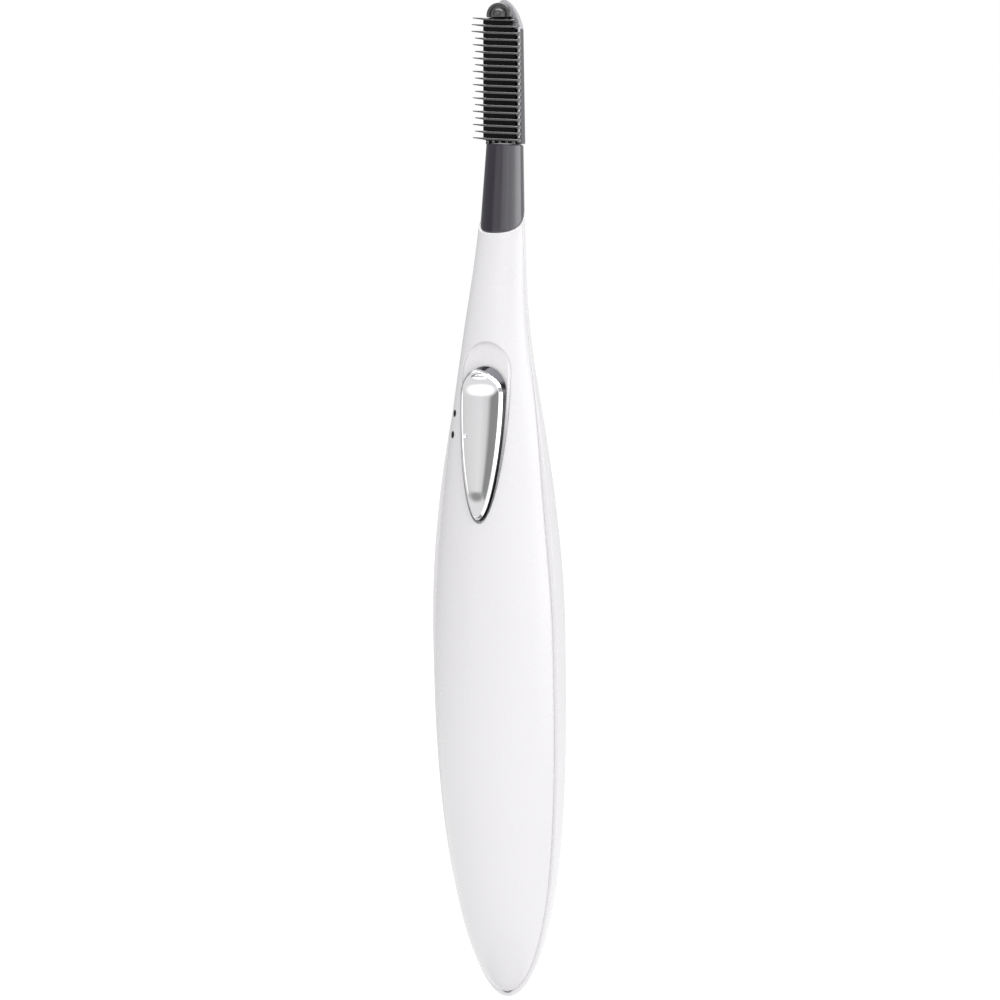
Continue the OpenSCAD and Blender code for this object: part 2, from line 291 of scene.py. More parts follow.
    @staticmethod
    def copy(piece: Piece, name: str, shift: Vec) -> Piece:
        """Copies a piece with its own mesh and moves the copy.

        Args:
            piece: the piece to copy.
            name: the copy's name.
            shift: how far the copy stands from the piece.

        Returns:
            The copy.
        """
        Bench.take(piece)
        bpy.ops.object.duplicate(linked=False)
        bpy.context.object.location = shift
        return Bench.settle(name)

    @staticmethod
    def turn(piece: Piece, angle: float, axis: str, about: Vec) -> None:
        """Turns a piece about an axis.

        Args:
            piece: the piece to turn.
            angle: how far, in degrees.
            axis: the axis's letter.
            about: a point on the axis.
        """
        spin = Matrix.Translation(about) @ Matrix.Rotation(radians(angle), 4, axis)
        piece.matrix_world = spin @ Matrix.Translation(-Vector(about))
        Bench.take(piece)
        bpy.ops.object.transform_apply(location=True, rotation=True, scale=True)

    @staticmethod
    def hand_over(piece: Piece, finish: "Finish", body: Body, *nodes: str, angle: float = 35) -> Piece:
        """Scales a piece to metres, smooths and dresses it, and fixes it to its body.

        Args:
            piece: the finished piece, in millimetres.
            finish: its finish.
            body: the body it rides on.
            nodes: CAD nodes it stands for.
            angle: edges sharper than this stay crisp, in degrees.

        Returns:
            The piece.
        """
        Bench.take(piece)
        piece.scale = (MM, MM, MM)
        bpy.ops.object.transform_apply(location=True, rotation=True, scale=True)
        bpy.ops.object.shade_smooth_by_angle(angle=radians(angle))
        Bench.apply(piece, "WEIGHTED_NORMAL", keep_sharp=True, weight=AUTO_WEIGHT)
        piece.data.materials.clear()
        piece.data.materials.append(finish.material())
        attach(piece, body.value)
        if nodes:
            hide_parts(*nodes)
        log.info("%s: %d faces, finish %s", piece.name, len(piece.data.polygons), finish.slot)
        return piece


# ---------------------------------------------------------------- surface effects and finishes


class Effect(Enum):
    """Shader node groups that several finishes share."""

    GRAIN = "mould_grain"
    RUBBING = "handling_marks"
    STROKES = "drawn_strokes"


class Effects:
    """Builds each shared effect once, on first use."""

    @staticmethod
    def group(effect: Effect) -> Tree:
        """Finds an effect's node group, made on first use.

        Args:
            effect: the effect.

        Returns:
            Its node group.
        """
        made = bpy.data.node_groups.get(effect.value)
        if made:
            return made
        return {Effect.GRAIN: Effects.grain, Effect.RUBBING: Effects.rubbing,
                Effect.STROKES: Effects.strokes}[effect](effect.value)

    @staticmethod
    def start(name: str, inputs: dict[str, float], outputs: Sequence[str]) -> tuple:
        """Starts a group with float sockets.

        Args:
            name: the group's name.
            inputs: input names and their usual values.
            outputs: output names.

        Returns:
            The group, its input node, its output node and an Object coordinates socket.
        """
        tree = bpy.data.node_groups.new(name, "ShaderNodeTree")
        for key, value in inputs.items():
            socket = tree.interface.new_socket(key, in_out="INPUT", socket_type="NodeSocketFloat")
            socket.default_value = value
        for key in outputs:
            tree.interface.new_socket(key, in_out="OUTPUT", socket_type="NodeSocketFloat")
        give, take = tree.nodes.new("NodeGroupInput"), tree.nodes.new("NodeGroupOutput")
        return tree, give, take, tree.nodes.new("ShaderNodeTexCoord").outputs["Object"]

    @staticmethod
    def noise(tree: Tree, place: Socket, scale: Socket, detail: float) -> Node:
        """Adds a noise node.

        Args:
            tree: the nodes it joins.
            place: socket with the place it is read at.
            scale: socket with its scale.
            detail: its octaves of detail.

        Returns:
            The node.
        """
        node = tree.nodes.new("ShaderNodeTexNoise")
        tree.links.new(place, node.inputs["Vector"])
        node.inputs["Detail"].default_value = detail
        tree.links.new(scale, node.inputs["Scale"])
        return node

    @staticmethod
    def fit(tree: Tree, value: Socket, spread: Flat, low: Value, high: Value) -> Socket:
        """Maps a value from a spread onto low to high.

        Args:
            tree: the nodes it joins.
            value: socket with the value.
            spread: the value's usual lowest and highest.
            low: result at the lowest.
            high: result at the highest.

        Returns:
            The socket with the result.
        """
        node = tree.nodes.new("ShaderNodeMapRange")
        tree.links.new(value, node.inputs["Value"])
        node.inputs["From Min"].default_value, node.inputs["From Max"].default_value = spread
        for key, end in (("To Min", low), ("To Max", high)):
            if isinstance(end, (int, float)):
                node.inputs[key].default_value = end
            else:
                tree.links.new(end, node.inputs[key])
        return node.outputs["Result"]

    @staticmethod
    def grain(name: str) -> Tree:
        """Makes the fine height of a moulded skin, and a slow drift of its tone.

        Args:
            name: the group's name.

        Returns:
            The group.
        """
        tree, give, take, place = Effects.start(name, {"Scale": 2500, "Drift": 90}, ("Height", "Tone"))
        fine = Effects.noise(tree, place, give.outputs["Scale"], 3)
        slow = Effects.noise(tree, place, give.outputs["Drift"], 1)
        tree.links.new(fine.outputs["Fac"], take.inputs["Height"])
        tone = Effects.fit(tree, slow.outputs["Fac"], (0.3, 0.7), 0.0, 1.0)
        tree.links.new(tone, take.inputs["Tone"])
        return tree

    @staticmethod
    def rubbing(name: str) -> Tree:
        """Makes a roughness that wanders between two values, as where fingers have been.

        Args:
            name: the group's name.

        Returns:
            The group.
        """
        inputs = {"Clean": 0.2, "Rubbed": 0.3, "Scale": 160}
        tree, give, take, place = Effects.start(name, inputs, ("Roughness",))
        marks = Effects.noise(tree, place, give.outputs["Scale"], 4)
        rough = Effects.fit(tree, marks.outputs["Fac"], (0.35, 0.65), give.outputs["Clean"],
                            give.outputs["Rubbed"])
        tree.links.new(rough, take.inputs["Roughness"])
        return tree

    @staticmethod
    def strokes(name: str) -> Tree:
        """Makes the height and mask of fine strokes drawn along the piece's length.

        Args:
            name: the group's name.

        Returns:
            The group.
        """
        tree, give, take, place = Effects.start(name, {"Scale": 4000}, ("Height", "Mask"))
        squeeze = tree.nodes.new("ShaderNodeMapping")
        squeeze.inputs["Scale"].default_value = (1.0, 1.0, 0.03)
        tree.links.new(place, squeeze.inputs["Vector"])
        lines = Effects.noise(tree, squeeze.outputs["Vector"], give.outputs["Scale"], 3)
        tree.links.new(lines.outputs["Fac"], take.inputs["Height"])
        mask = Effects.fit(tree, lines.outputs["Fac"], (0.4, 0.6), 0.0, 1.0)
        tree.links.new(mask, take.inputs["Mask"])
        return tree


@dataclass(frozen=True)
class Finish:
    """A surface finish: two close tones, a gloss that wanders, and a fine relief."""

    slot: str
    tone: Colour
    low_tone: Colour
    clean: float = 0.3
    rubbed: float = 0.4
    metal: float = 0.0
    coat: float = 0.0
    specular: float = 0.5
    relief: float = 0.004
    grain: float = 2500.0
    drift: float = 90.0
    relief_from: Effect = Effect.GRAIN
    shade: str = "finish"
    coat_rough: float = 0.06

    def material(self) -> bpy.types.Material:
        """Returns the finish's material, made on first use."""
        return bpy.data.materials.get(f"{self.slot}_{self.shade}") or self.mix_material()

    def mix_material(self) -> bpy.types.Material:
        """Builds the material's nodes.

        Returns:
            The new material.
        """
        made = bpy.data.materials.new(f"{self.slot}_{self.shade}")
        made.use_nodes = True
        tree = made.node_tree
        shader = tree.nodes["Principled BSDF"]
        shader.inputs["Metallic"].default_value = self.metal
        shader.inputs["Specular IOR Level"].default_value = self.specular
        shader.inputs["Coat Weight"].default_value = self.coat
        shader.inputs["Coat Roughness"].default_value = self.coat_rough
        grain = self.place(tree, Effect.GRAIN, Scale=self.grain, Drift=self.drift)
        rub = self.place(tree, Effect.RUBBING, Clean=self.clean, Rubbed=self.rubbed)
        tree.links.new(self.colour(tree, grain.outputs["Tone"]), shader.inputs["Base Color"])
        tree.links.new(rub.outputs["Roughness"], shader.inputs["Roughness"])
        lines = grain
        if self.relief_from is Effect.STROKES:
            lines = self.place(tree, Effect.STROKES, Scale=self.grain)
        bump = tree.nodes.new("ShaderNodeBump")
        bump.inputs["Strength"].default_value = 1.0
        bump.inputs["Distance"].default_value = self.relief * MM
        tree.links.new(lines.outputs["Height"], bump.inputs["Height"])
        tree.links.new(bump.outputs["Normal"], shader.inputs["Normal"])
        return made

    def place(self, tree: Tree, effect: Effect, **values: float) -> Node:
        """Places a shared effect with its own values.

        Args:
            tree: the material's nodes.
            effect: the effect.
            values: the group's inputs, by name.

        Returns:
            The group node.
        """
        node = tree.nodes.new("ShaderNodeGroup")
        node.node_tree = Effects.group(effect)
        for key, value in values.items():
            node.inputs[key].default_value = value
        return node

    def colour(self, tree: Tree, tone: Socket) -> Socket:
        """Blends the two tones.

        Args:
            tree: the material's nodes.
            tone: socket that drifts from 0 to 1.

        Returns:
            The socket of the base colour.
        """
        blend = tree.nodes.new("ShaderNodeMix")
        blend.data_type = "RGBA"
        blend.inputs["A"].default_value = (*self.low_tone, 1)
        blend.inputs["B"].default_value = (*self.tone, 1)
        tree.links.new(tone, blend.inputs["Factor"])
        return blend.outputs["Result"]


@dataclass(frozen=True)
class BandedFinish(Finish):
    """A finish whose colour changes at heights, as on a printed cell jacket."""

    bands: tuple[tuple[float, Colour], ...] = ()

    def colour(self, tree: Tree, tone: Socket) -> Socket:
        """Lays the bands over the two blended tones.

        Args:
            tree: the material's nodes.
            tone: socket that drifts from 0 to 1.

        Returns:
            The socket of the base colour.
        """
        place = tree.nodes.new("ShaderNodeTexCoord")
        split = tree.nodes.new("ShaderNodeSeparateXYZ")
        tree.links.new(place.outputs["Object"], split.inputs["Vector"])
        last = super().colour(tree, tone)
        for height, shade in self.bands:
            above = tree.nodes.new("ShaderNodeMath")
            above.operation = "GREATER_THAN"
            above.inputs[1].default_value = height * MM
            tree.links.new(split.outputs["Z"], above.inputs[0])
            blend = tree.nodes.new("ShaderNodeMix")
            blend.data_type = "RGBA"
            blend.inputs["B"].default_value = (*shade, 1)
            tree.links.new(last, blend.inputs["A"])
            tree.links.new(above.outputs["Value"], blend.inputs["Factor"])
            last = blend.outputs["Result"]
        return last


class Finishes:
    """Every finish of the object, by what it is."""

    WHITE_GLOSS = Finish("white_gloss", (0.857, 0.843, 0.86), (0.85, 0.836, 0.853), 0.24, 0.3,
                         specular=0.5, relief=0.0006, grain=1500, drift=60)
    SMOKE = Finish("smoke_satin", (0.026, 0.022, 0.034), (0.022, 0.018, 0.029), 0.17, 0.24,
                   specular=1.0)
    TIP_GREY = Finish("tip_grey", (0.58, 0.57, 0.6), (0.55, 0.54, 0.57), 0.3, 0.4)
    COMB_BLACK = Finish("comb_black", (0.02, 0.02, 0.023), (0.015, 0.015, 0.017), 0.2, 0.3,
                        coat=0.6, specular=1.0, relief=0.003)
    # Near-black matt: on the comb's spine it is painted shade in the gaps between the fins; on the
    # position dots it is their own print colour.
    DOT_PRINT_AND_GAP_SHADE = Finish("comb_black", (0.006, 0.006, 0.007), (0.004, 0.004, 0.005), 0.5, 0.6,
                       specular=0.1, relief=0.006, shade="matt")
    CHROME = Finish("chrome", (0.9, 0.9, 0.91), (0.87, 0.87, 0.885), 0.05, 0.09, metal=1.0,
                    relief=0.0004, grain=3000, relief_from=Effect.STROKES)
    # Very dark chrome for the knob's skirt: painted shade and painted dark reflection for the shadowed gap
    # round the knob's side.
    CHROME_PAINTED_SHADE = Finish("chrome", (0.055, 0.055, 0.06), (0.045, 0.045, 0.05), 0.1, 0.16, metal=1.0,
                         relief=0.0004, grain=3000, relief_from=Effect.STROKES, shade="dark")
    BLACK_PLASTIC = Finish("black_plastic", (0.02, 0.02, 0.022), (0.014, 0.014, 0.016), 0.4, 0.55,
                           relief=0.008)
    RUBBER = Finish("seal_rubber", (0.02, 0.02, 0.02), (0.015, 0.015, 0.015), 0.6, 0.75,
                    relief=0.01)
    ALUMINIUM = Finish("heater_alu", (0.78, 0.78, 0.8), (0.7, 0.7, 0.72), 0.3, 0.42, metal=1.0,
                       relief=0.003, relief_from=Effect.STROKES)
    CERAMIC = Finish("heater_ceramic", (0.3, 0.25, 0.22), (0.22, 0.19, 0.17), 0.5, 0.65,
                     relief=0.012)
    INSULATOR = Finish("insulator_sheet", (0.72, 0.64, 0.46), (0.62, 0.54, 0.38), 0.5, 0.65,
                       relief=0.01)
    RED_LEAD = Finish("lead_red", (0.5, 0.04, 0.03), (0.4, 0.03, 0.025), 0.35, 0.45, relief=0.005)
    BLACK_LEAD = Finish("lead_black", (0.025, 0.025, 0.03), (0.018, 0.018, 0.02), 0.35, 0.45,
                        relief=0.005)
    FUSE = Finish("fuse_ceramic", (0.75, 0.73, 0.68), (0.66, 0.64, 0.6), 0.35, 0.45, relief=0.006)
    COPPER = Finish("copper_alloy", (0.82, 0.5, 0.3), (0.7, 0.4, 0.24), 0.25, 0.4, metal=1.0,
                    relief=0.002, relief_from=Effect.STROKES)
    STEEL = Finish("spring_steel", (0.68, 0.68, 0.7), (0.56, 0.56, 0.58), 0.22, 0.34, metal=1.0,
                   relief=0.002, relief_from=Effect.STROKES)
    BOARD = Finish("board_brown", (0.34, 0.22, 0.1), (0.27, 0.17, 0.07), 0.45, 0.6, coat=0.3,
                   relief=0.006)
    CRADLE = Finish("cradle_grey", (0.42, 0.42, 0.43), (0.36, 0.36, 0.37), 0.45, 0.6, relief=0.01)
    CELL = BandedFinish("cell_jacket", (0.1, 0.11, 0.13), (0.08, 0.09, 0.11), 0.25, 0.35, coat=0.4,
                        relief=0.002,
                        bands=((25.2, (0.045, 0.16, 0.2)), (53.5, (0.5, 0.5, 0.52)),
                               (55.0, (0.09, 0.1, 0.12)), (65.6, (0.55, 0.55, 0.57))))


def dress(node: str, finish: Finish) -> None:
    """Gives a CAD node that stays visible its finish.

    Args:
        node: the node's name.
        finish: its finish.
    """
    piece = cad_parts[node]
    for place in piece.material_slots:
        place.material = finish.material()
    if not piece.material_slots:
        piece.data.materials.append(finish.material())
    log.info("%s: dressed in %s", node, finish.slot)


# ---------------------------------------------------------------- the case


@dataclass(frozen=True)
class CaseShape:
    """Outline and sections of the spindle-shaped case, in millimetres."""

    belly_r: float = 9.1
    belly_z: float = 49.3
    tail_fullness: float = 2.5
    top: float = 105.0
    joint_slope: float = 0.272
    joint_curve: float = 0.0971
    tip: float = 0.12
    front_lift: float = 0.75
    front_inset: float = 0.037
    front_depth: float = 0.93
    rear_depth: float = 0.89
    round_depth: float = 0.97
    rear_power: float = 2.6
    wall: float = 1.2
    neck_wall: float = 0.75
    gap: float = 0.06
    edge: float = 0.14
    edge_share: float = 0.15
    least: float = 0.02
    steepest: float = 0.95
    round_power: float = 2.0
    rounding: Flat = (58, 100)
    thin_from: float = 85
    slant_length: float = 10
    joint_front: float = -5.2
    shoulder: Rows = ((49.3, 9.1, 0), (63, 8.5, -0.09), (76.8, 6.85, -0.155), (88, 5.03, -0.158),
                      (96, 3.98, -0.105), (106, 3.13, -0.07), (118, 2.5, -0.03))
    centre_line: Rows = ((0, 0, -0.1), (20, -1.55, -0.067), (49.3, -3.05, -0.02), (72, -3.4, -0.03),
                         (90, -4.2, 0), (98.5, -3.3, 0.19), (106, -2, 0.13), (118, -1, 0))
    parting_line: Rows = ((0, -0.1, -0.05), (5.4, -0.55, -0.12), (16, -1.9, -0.14), (49.3, -4.9, -0.05),
                          (66, -5.55, 0), (90.5, -3.9, 0.11), (112, -1.8, 0.1))

    def half_width(self, z: float, lift: float) -> float:
        """Half width of a shell at a height.

        Args:
            z: height.
            lift: how much higher the shell's tip lies than the case's.

        Returns:
            The half width there.
        """
        if z >= self.belly_z:
            return along(self.shoulder, z)
        low = self.tip + lift
        share = max(0.0, (z - low) / (self.belly_z - low))
        return self.belly_r * sqrt(max(0.0, 1 - (1 - share) ** self.tail_fullness))

    def reach(self, z: float, side: Side) -> tuple[float, float, float, float]:
        """Section of a shell at a height.

        Args:
            z: height.
            side: which shell.

        Returns:
            The section's centre, half width, depth and power.
        """
        t = ramp(*self.rounding, z)
        middle = along(self.centre_line, z)
        if side is Side.FRONT:
            r = self.half_width(z, self.front_lift)
            deep = r * mix(self.front_depth, self.round_depth, t)
            return middle, r * (1 - self.front_inset * (1 - t)), deep, self.round_power
        r = self.half_width(z, 0)
        centre = along(self.parting_line, z) + self.gap / 2
        deep = middle + r * mix(self.rear_depth, self.round_depth, t) - centre
        return centre, r, max(0.0, deep), mix(self.rear_power, self.round_power, t)

    def skin_y(self, x: float, z: float, side: Side) -> float:
        """Finds the outer skin.

        Args:
            x: width.
            z: height.
            side: which shell.

        Returns:
            The skin's depth there.
        """
        centre, w, d, power = self.reach(z, side)
        share = min(1.0, abs(x) / w)
        return centre + side.value * d * max(0.0, 1 - share ** power) ** (1 / power)

    def joint_rise(self, y: float) -> float:
        """How much higher the joint with the neck lies than at the front.

        Args:
            y: depth, from the front back.

        Returns:
            The rise.
        """
        step = y - self.joint_front
        return self.joint_slope * step + self.joint_curve * step * step

    def ring(self, z: float, side: Side, skin: float, outer: int, inner: int) -> list[Vec]:
        """One closed ring round a shell's wall, its four corners rounded.

        Args:
            z: height of the ring, before the top edge's slant.
            side: which shell.
            skin: how far the wall is pared away on both faces.
            outer: points along the outer face.
            inner: points along the inner face.

        Returns:
            The ring's points.
        """
        centre, w, d, power = self.reach(z, side)
        wall = mix(self.wall, self.neck_wall, ramp(self.thin_from, self.top, z))
        way = side.value
        part = along(self.parting_line, z) + way * self.gap / 2
        edge = max(0.0, min(self.edge, self.edge_share * w, (wall - 2 * skin) / 4))

        def shrunk(inset: float) -> Flat:
            """Returns the half width and depth of the section drawn in."""
            return max(self.least * w, w - inset), max(self.least * d, d - inset)

        def at(y: float, inset: float) -> float:
            """Returns the half width of the drawn-in section at a depth."""
            a, b = shrunk(inset)
            share = min(1.0, abs(y - centre) / b) if b > 0 else 0.0
            return a * (1 - share ** power) ** (1 / power)

        def arc(inset: float, count: int) -> list[Flat]:
            """Returns points over the drawn-in section, from its right edge to its left."""
            a, b = shrunk(inset)
            lift = (part + way * edge - centre) / b if b > 0 else 0.0
            start = asin(max(-self.steepest, min(self.steepest, bulge(lift, 4 / power))))
            turn = [start + (way * pi - 2 * start) * i / (count - 1) for i in range(count)]
            return [(a * bulge(cos(t), power), centre + b * bulge(sin(t), power)) for t in turn]

        near, far, step = skin + CORNER * edge, skin + edge, part + way * CORNER * edge
        corner = [(at(step, near), step), (at(part, far), part),
                  (at(part, wall - far), part), (at(step, wall - near), step)]
        flat = (arc(skin, outer) + [(-x, y) for x, y in corner]
                + arc(wall - skin, inner)[::-1] + corner[::-1])
        slant = ramp(self.top - self.slant_length, self.top, z)
        return [(x, y, z + slant * self.joint_rise(y)) for x, y in flat]


CASE = CaseShape()


@dataclass(frozen=True)
class SlideFrame:
    """Frame of the thumb slide: local y runs into the case and local z along the slide."""

    y: float = -9.95
    z: float = 76.5
    tilt: float = 5.6
    length: float = 21.4
    half: float = 3.35
    travel: float = 3.0
    rise: float = 0.95
    floor: float = 0.8
    gap: float = 0.15
    widest: float = 0.818
    taper: float = 1.7
    passes: int = 4

    def world(self, x: float, y: float, z: float) -> Vec:
        """Returns a local point's place in the row frame."""
        c, s = cos(radians(self.tilt)), sin(radians(self.tilt))
        return (x, self.y + y * c + z * s, self.z - y * s + z * c)

    def case_depth(self, x: float, z: float) -> float:
        """Depth of the case's skin in the slide's frame.

        Args:
            x: local width.
            z: local height.

        Returns:
            The skin's local depth there.
        """
        depth = 0.0
        for _ in range(self.passes):
            place = self.world(x, depth, z)
            depth += (CASE.skin_y(place[0], place[2], Side.FRONT) - place[1]) / cos(radians(self.tilt))
        return depth

    def outline(self, grow: float = 0.0, drawn: float = 0.0, count: int = 96) -> list[Flat]:
        """Teardrop outline in local x and z.

        Args:
            grow: margin added all round.
            drawn: how far the upper part is drawn out upwards.
            count: number of points, once round.

        Returns:
            The outline, starting at the right of its widest place.
        """
        widest = self.widest * self.length
        wide, points = self.half + grow, []
        for i in range(count):
            turn = 2 * pi * i / count
            if sin(turn) >= 0:
                z = widest + (self.length + grow - widest) * sin(turn) + drawn
            else:
                z = widest - (widest + grow) * abs(sin(turn)) ** (2 / self.taper)
            points.append((wide * cos(turn), z - self.length / 2))
        return points


SLIDE = SlideFrame()


@dataclass
class Handle:
    """The case: front shell, rear shell, battery door and the two position dots."""

    outer: int = 84
    inner: int = 40
    rows: int = 170
    rim: float = 0.12
    door_half: float = 5.45
    door_low: float = 17.5
    door_high: float = 71.5
    door_gap: float = 0.15
    door_corner: float = 1.3
    chamfer: float = 0.12
    screw_heights: tuple[float, float] = (12.5, 94.0)
    screw_hole: float = 1.35
    dots: tuple[tuple[float, float], ...] = ((-4.83, 80.5), (-5.02, 77.6))
    dot_r: float = 0.5
    dot_narrow: float = 0.72
    tail_bias: float = 1.6
    slot: tuple[Vec, Vec] = ((-1.4, 0, -4.3), (1.4, 5, 7.3))
    cut_out: float = -2.0
    cut_in: float = 2.6
    grooves: int = 3
    groove_start: float = 5.0
    groove_pitch: float = 1.6
    groove_half: float = 2.6
    groove_r: float = 0.5
    groove_sunk: float = 0.22

    def shell(self, name: str, side: Side) -> Piece:
        """Builds a shell's closed wall, from its tip to its rounded top edge.

        Args:
            name: the piece's name.
            side: which shell.

        Returns:
            The shell.
        """
        low = CASE.tip + (CASE.front_lift if side is Side.FRONT else 0)
        span = CASE.top - self.rim - low
        levels = [(low + span * (i / self.rows) ** self.tail_bias, 0.0) for i in range(self.rows + 1)]
        for step in (1, 2, 3):
            turn = radians(30 * step)
            levels.append((CASE.top - self.rim * (1 - sin(turn)), self.rim * (1 - cos(turn))))
        levels.append((CASE.top, CASE.neck_wall / 2))
        return Bench.skin(name, [CASE.ring(z, side, pared, self.outer, self.inner) for z, pared in levels])

    def landing(self) -> Piece:
        """Builds the tool that cuts the slide's sunk landing, its rounded rim following the case.

        Returns:
            The tool.
        """
        c, wide = self.chamfer, SLIDE.gap
        steps = ((wide + 2 * c, -1.5), (wide + 2 * c, 0.0), (wide + 0.9 * c, 0.25 * c),
                 (wide + 0.25 * c, 0.9 * c), (wide, 2 * c))
        rings = [[SLIDE.world(x, SLIDE.case_depth(x, z) + depth, z)
                  for x, z in SLIDE.outline(grow, SLIDE.travel)] for grow, depth in steps]
        wall = [SLIDE.world(x, max(SLIDE.floor, SLIDE.case_depth(x, z) + 2 * c), z)
                for x, z in SLIDE.outline(wide, SLIDE.travel)]
        foot = [SLIDE.world(x, SLIDE.floor, z) for x, z in SLIDE.outline(wide - 0.3, SLIDE.travel)]
        middle = SLIDE.length * 0.2
        return Bench.skin("landing_tool", [[SLIDE.world(0, -2, middle)], *rings, wall, foot,
                                           [SLIDE.world(0, SLIDE.floor, middle)]])

    def front(self) -> Piece:
        """Builds the front shell with the sunk landing and the slot for the slide's stem.

        Returns:
            The shell.
        """
        shell = self.shell("front_case_shell", Side.FRONT)
        Bench.cut(shell, self.landing())
        slot = Bench.block("slot_tool", *self.slot)
        for point in slot.data.vertices:
            point.co = SLIDE.world(*point.co)
        Bench.cut(shell, slot)
        return shell

    def door_tool(self, steps: Sequence[Flat]) -> Piece:
        """Builds a tool with the door's rounded outline, whose rim follows the rear shell.

        Args:
            steps: pairs of margin and depth below the outer skin.

        Returns:
            The tool.
        """
        rings = []
        for grow, depth in steps:
            half, corner = self.door_half + grow, self.door_corner + grow
            low, high = self.door_low - grow, self.door_high + grow
            ring = []
            corners = ((half - corner, high - corner, 0), (corner - half, high - corner, 90),
                       (corner - half, low + corner, 180), (half - corner, low + corner, 270))
            for cx, cz, first in corners:
                for i in range(7):
                    turn = radians(first + 15 * i)
                    ring.append((cx + corner * cos(turn), cz + corner * sin(turn)))
                if first in (90, 270):
                    span = high - low - 2 * corner
                    way = -1 if first == 90 else 1
                    start = ring[-1]
                    ring += [(start[0], start[1] + way * span * k / 40) for k in range(1, 40)]
                else:
                    start, span = ring[-1], 2 * (half - corner)
                    way = -1 if first == 0 else 1
                    ring += [(start[0] + way * span * k / 10, start[1]) for k in range(1, 10)]
            rings.append([(x, CASE.skin_y(x, z, Side.REAR) - depth, z) for x, z in ring])
        middle = (self.door_low + self.door_high) / 2
        return Bench.skin("door_tool", [[(0, 9, middle)], *rings, [(0, -2.2, middle)]])

    def rear(self) -> Piece:
        """Builds the rear shell with the door opening and the two sunk screw holes.

        Returns:
            The shell.
        """
        shell = self.shell("rear_case_shell", Side.REAR)
        c = self.chamfer
        Bench.cut(shell, self.door_tool(((c, self.cut_out), (c, 0.0), (CORNER * c, CORNER * c), (0, c),
                                         (0, self.cut_in))))
        for height in self.screw_heights:
            back = CASE.skin_y(0, height, Side.REAR)
            r, out = self.screw_hole, (0, back + 1, height)
            hole = Bench.rod("hole_tool", (0, back - 3, height), out, r, sides=48)
            flare = Bench.rod("flare_tool", (0, back - c, height), out, r, r + c + 1, sides=48)
            Bench.cut(hole, flare, "UNION")
            Bench.cut(shell, hole)
        return shell

    def door(self) -> Piece:
        """Builds the battery door, with a thumb recess of three shallow grooves near its top.

        Returns:
            The door.
        """
        shell = self.shell("battery_door_cover", Side.REAR)
        g, c = self.door_gap, self.chamfer
        tool = self.door_tool(((-g - c, self.cut_out), (-g - c, 0.0), (-g - CORNER * c, CORNER * c),
                               (-g, c), (-g, self.cut_in)))
        Bench.cut(shell, tool, "INTERSECT")
        half = self.groove_half
        for i in range(self.grooves):
            z = self.door_high - self.groove_start - self.groove_pitch * i
            back = CASE.skin_y(0, z, Side.REAR) + self.groove_sunk
            groove = Bench.rod("groove_tool", (-half, back, z), (half, back, z), self.groove_r, sides=24)
            Bench.cut(shell, groove)
        return shell

    def position_dots(self) -> Piece:
        """Builds the two shallow domed dots that mark off and on, lying on the front shell.

        Returns:
            The dots, in one piece.
        """
        made = []
        for x, z in self.dots:
            rings = []
            for share, proud in ((1.0, -0.15), (1.0, 0.02), (0.85, 0.05), (0.5, 0.07)):
                ring = []
                for i in range(28):
                    turn = 2 * pi * i / 28
                    px = x + self.dot_r * share * cos(turn) * self.dot_narrow
                    pz = z + self.dot_r * share * sin(turn)
                    ring.append((px, CASE.skin_y(px, pz, Side.FRONT) - proud, pz))
                rings.append(ring)
            rings = [[(x, CASE.skin_y(x, z, Side.FRONT) + 0.15, z)], *rings,
                     [(x, CASE.skin_y(x, z, Side.FRONT) - 0.075, z)]]
            made.append(Bench.skin("position_dots", rings))
        return Bench.join(made)

    def build(self) -> None:
        """Builds, dresses and fixes every piece of the case."""
        Bench.hand_over(self.front(), Finishes.WHITE_GLOSS, Body.ROOT, "front_case")
        Bench.hand_over(self.rear(), Finishes.WHITE_GLOSS, Body.ROOT, "rear_case")
        Bench.hand_over(self.door(), Finishes.WHITE_GLOSS, Body.DOOR, "battery_door")
        Bench.hand_over(self.position_dots(), Finishes.DOT_PRINT_AND_GAP_SHADE, Body.ROOT)
        dress("case_screws", Finishes.STEEL)


# ---------------------------------------------------------------- the thumb slide


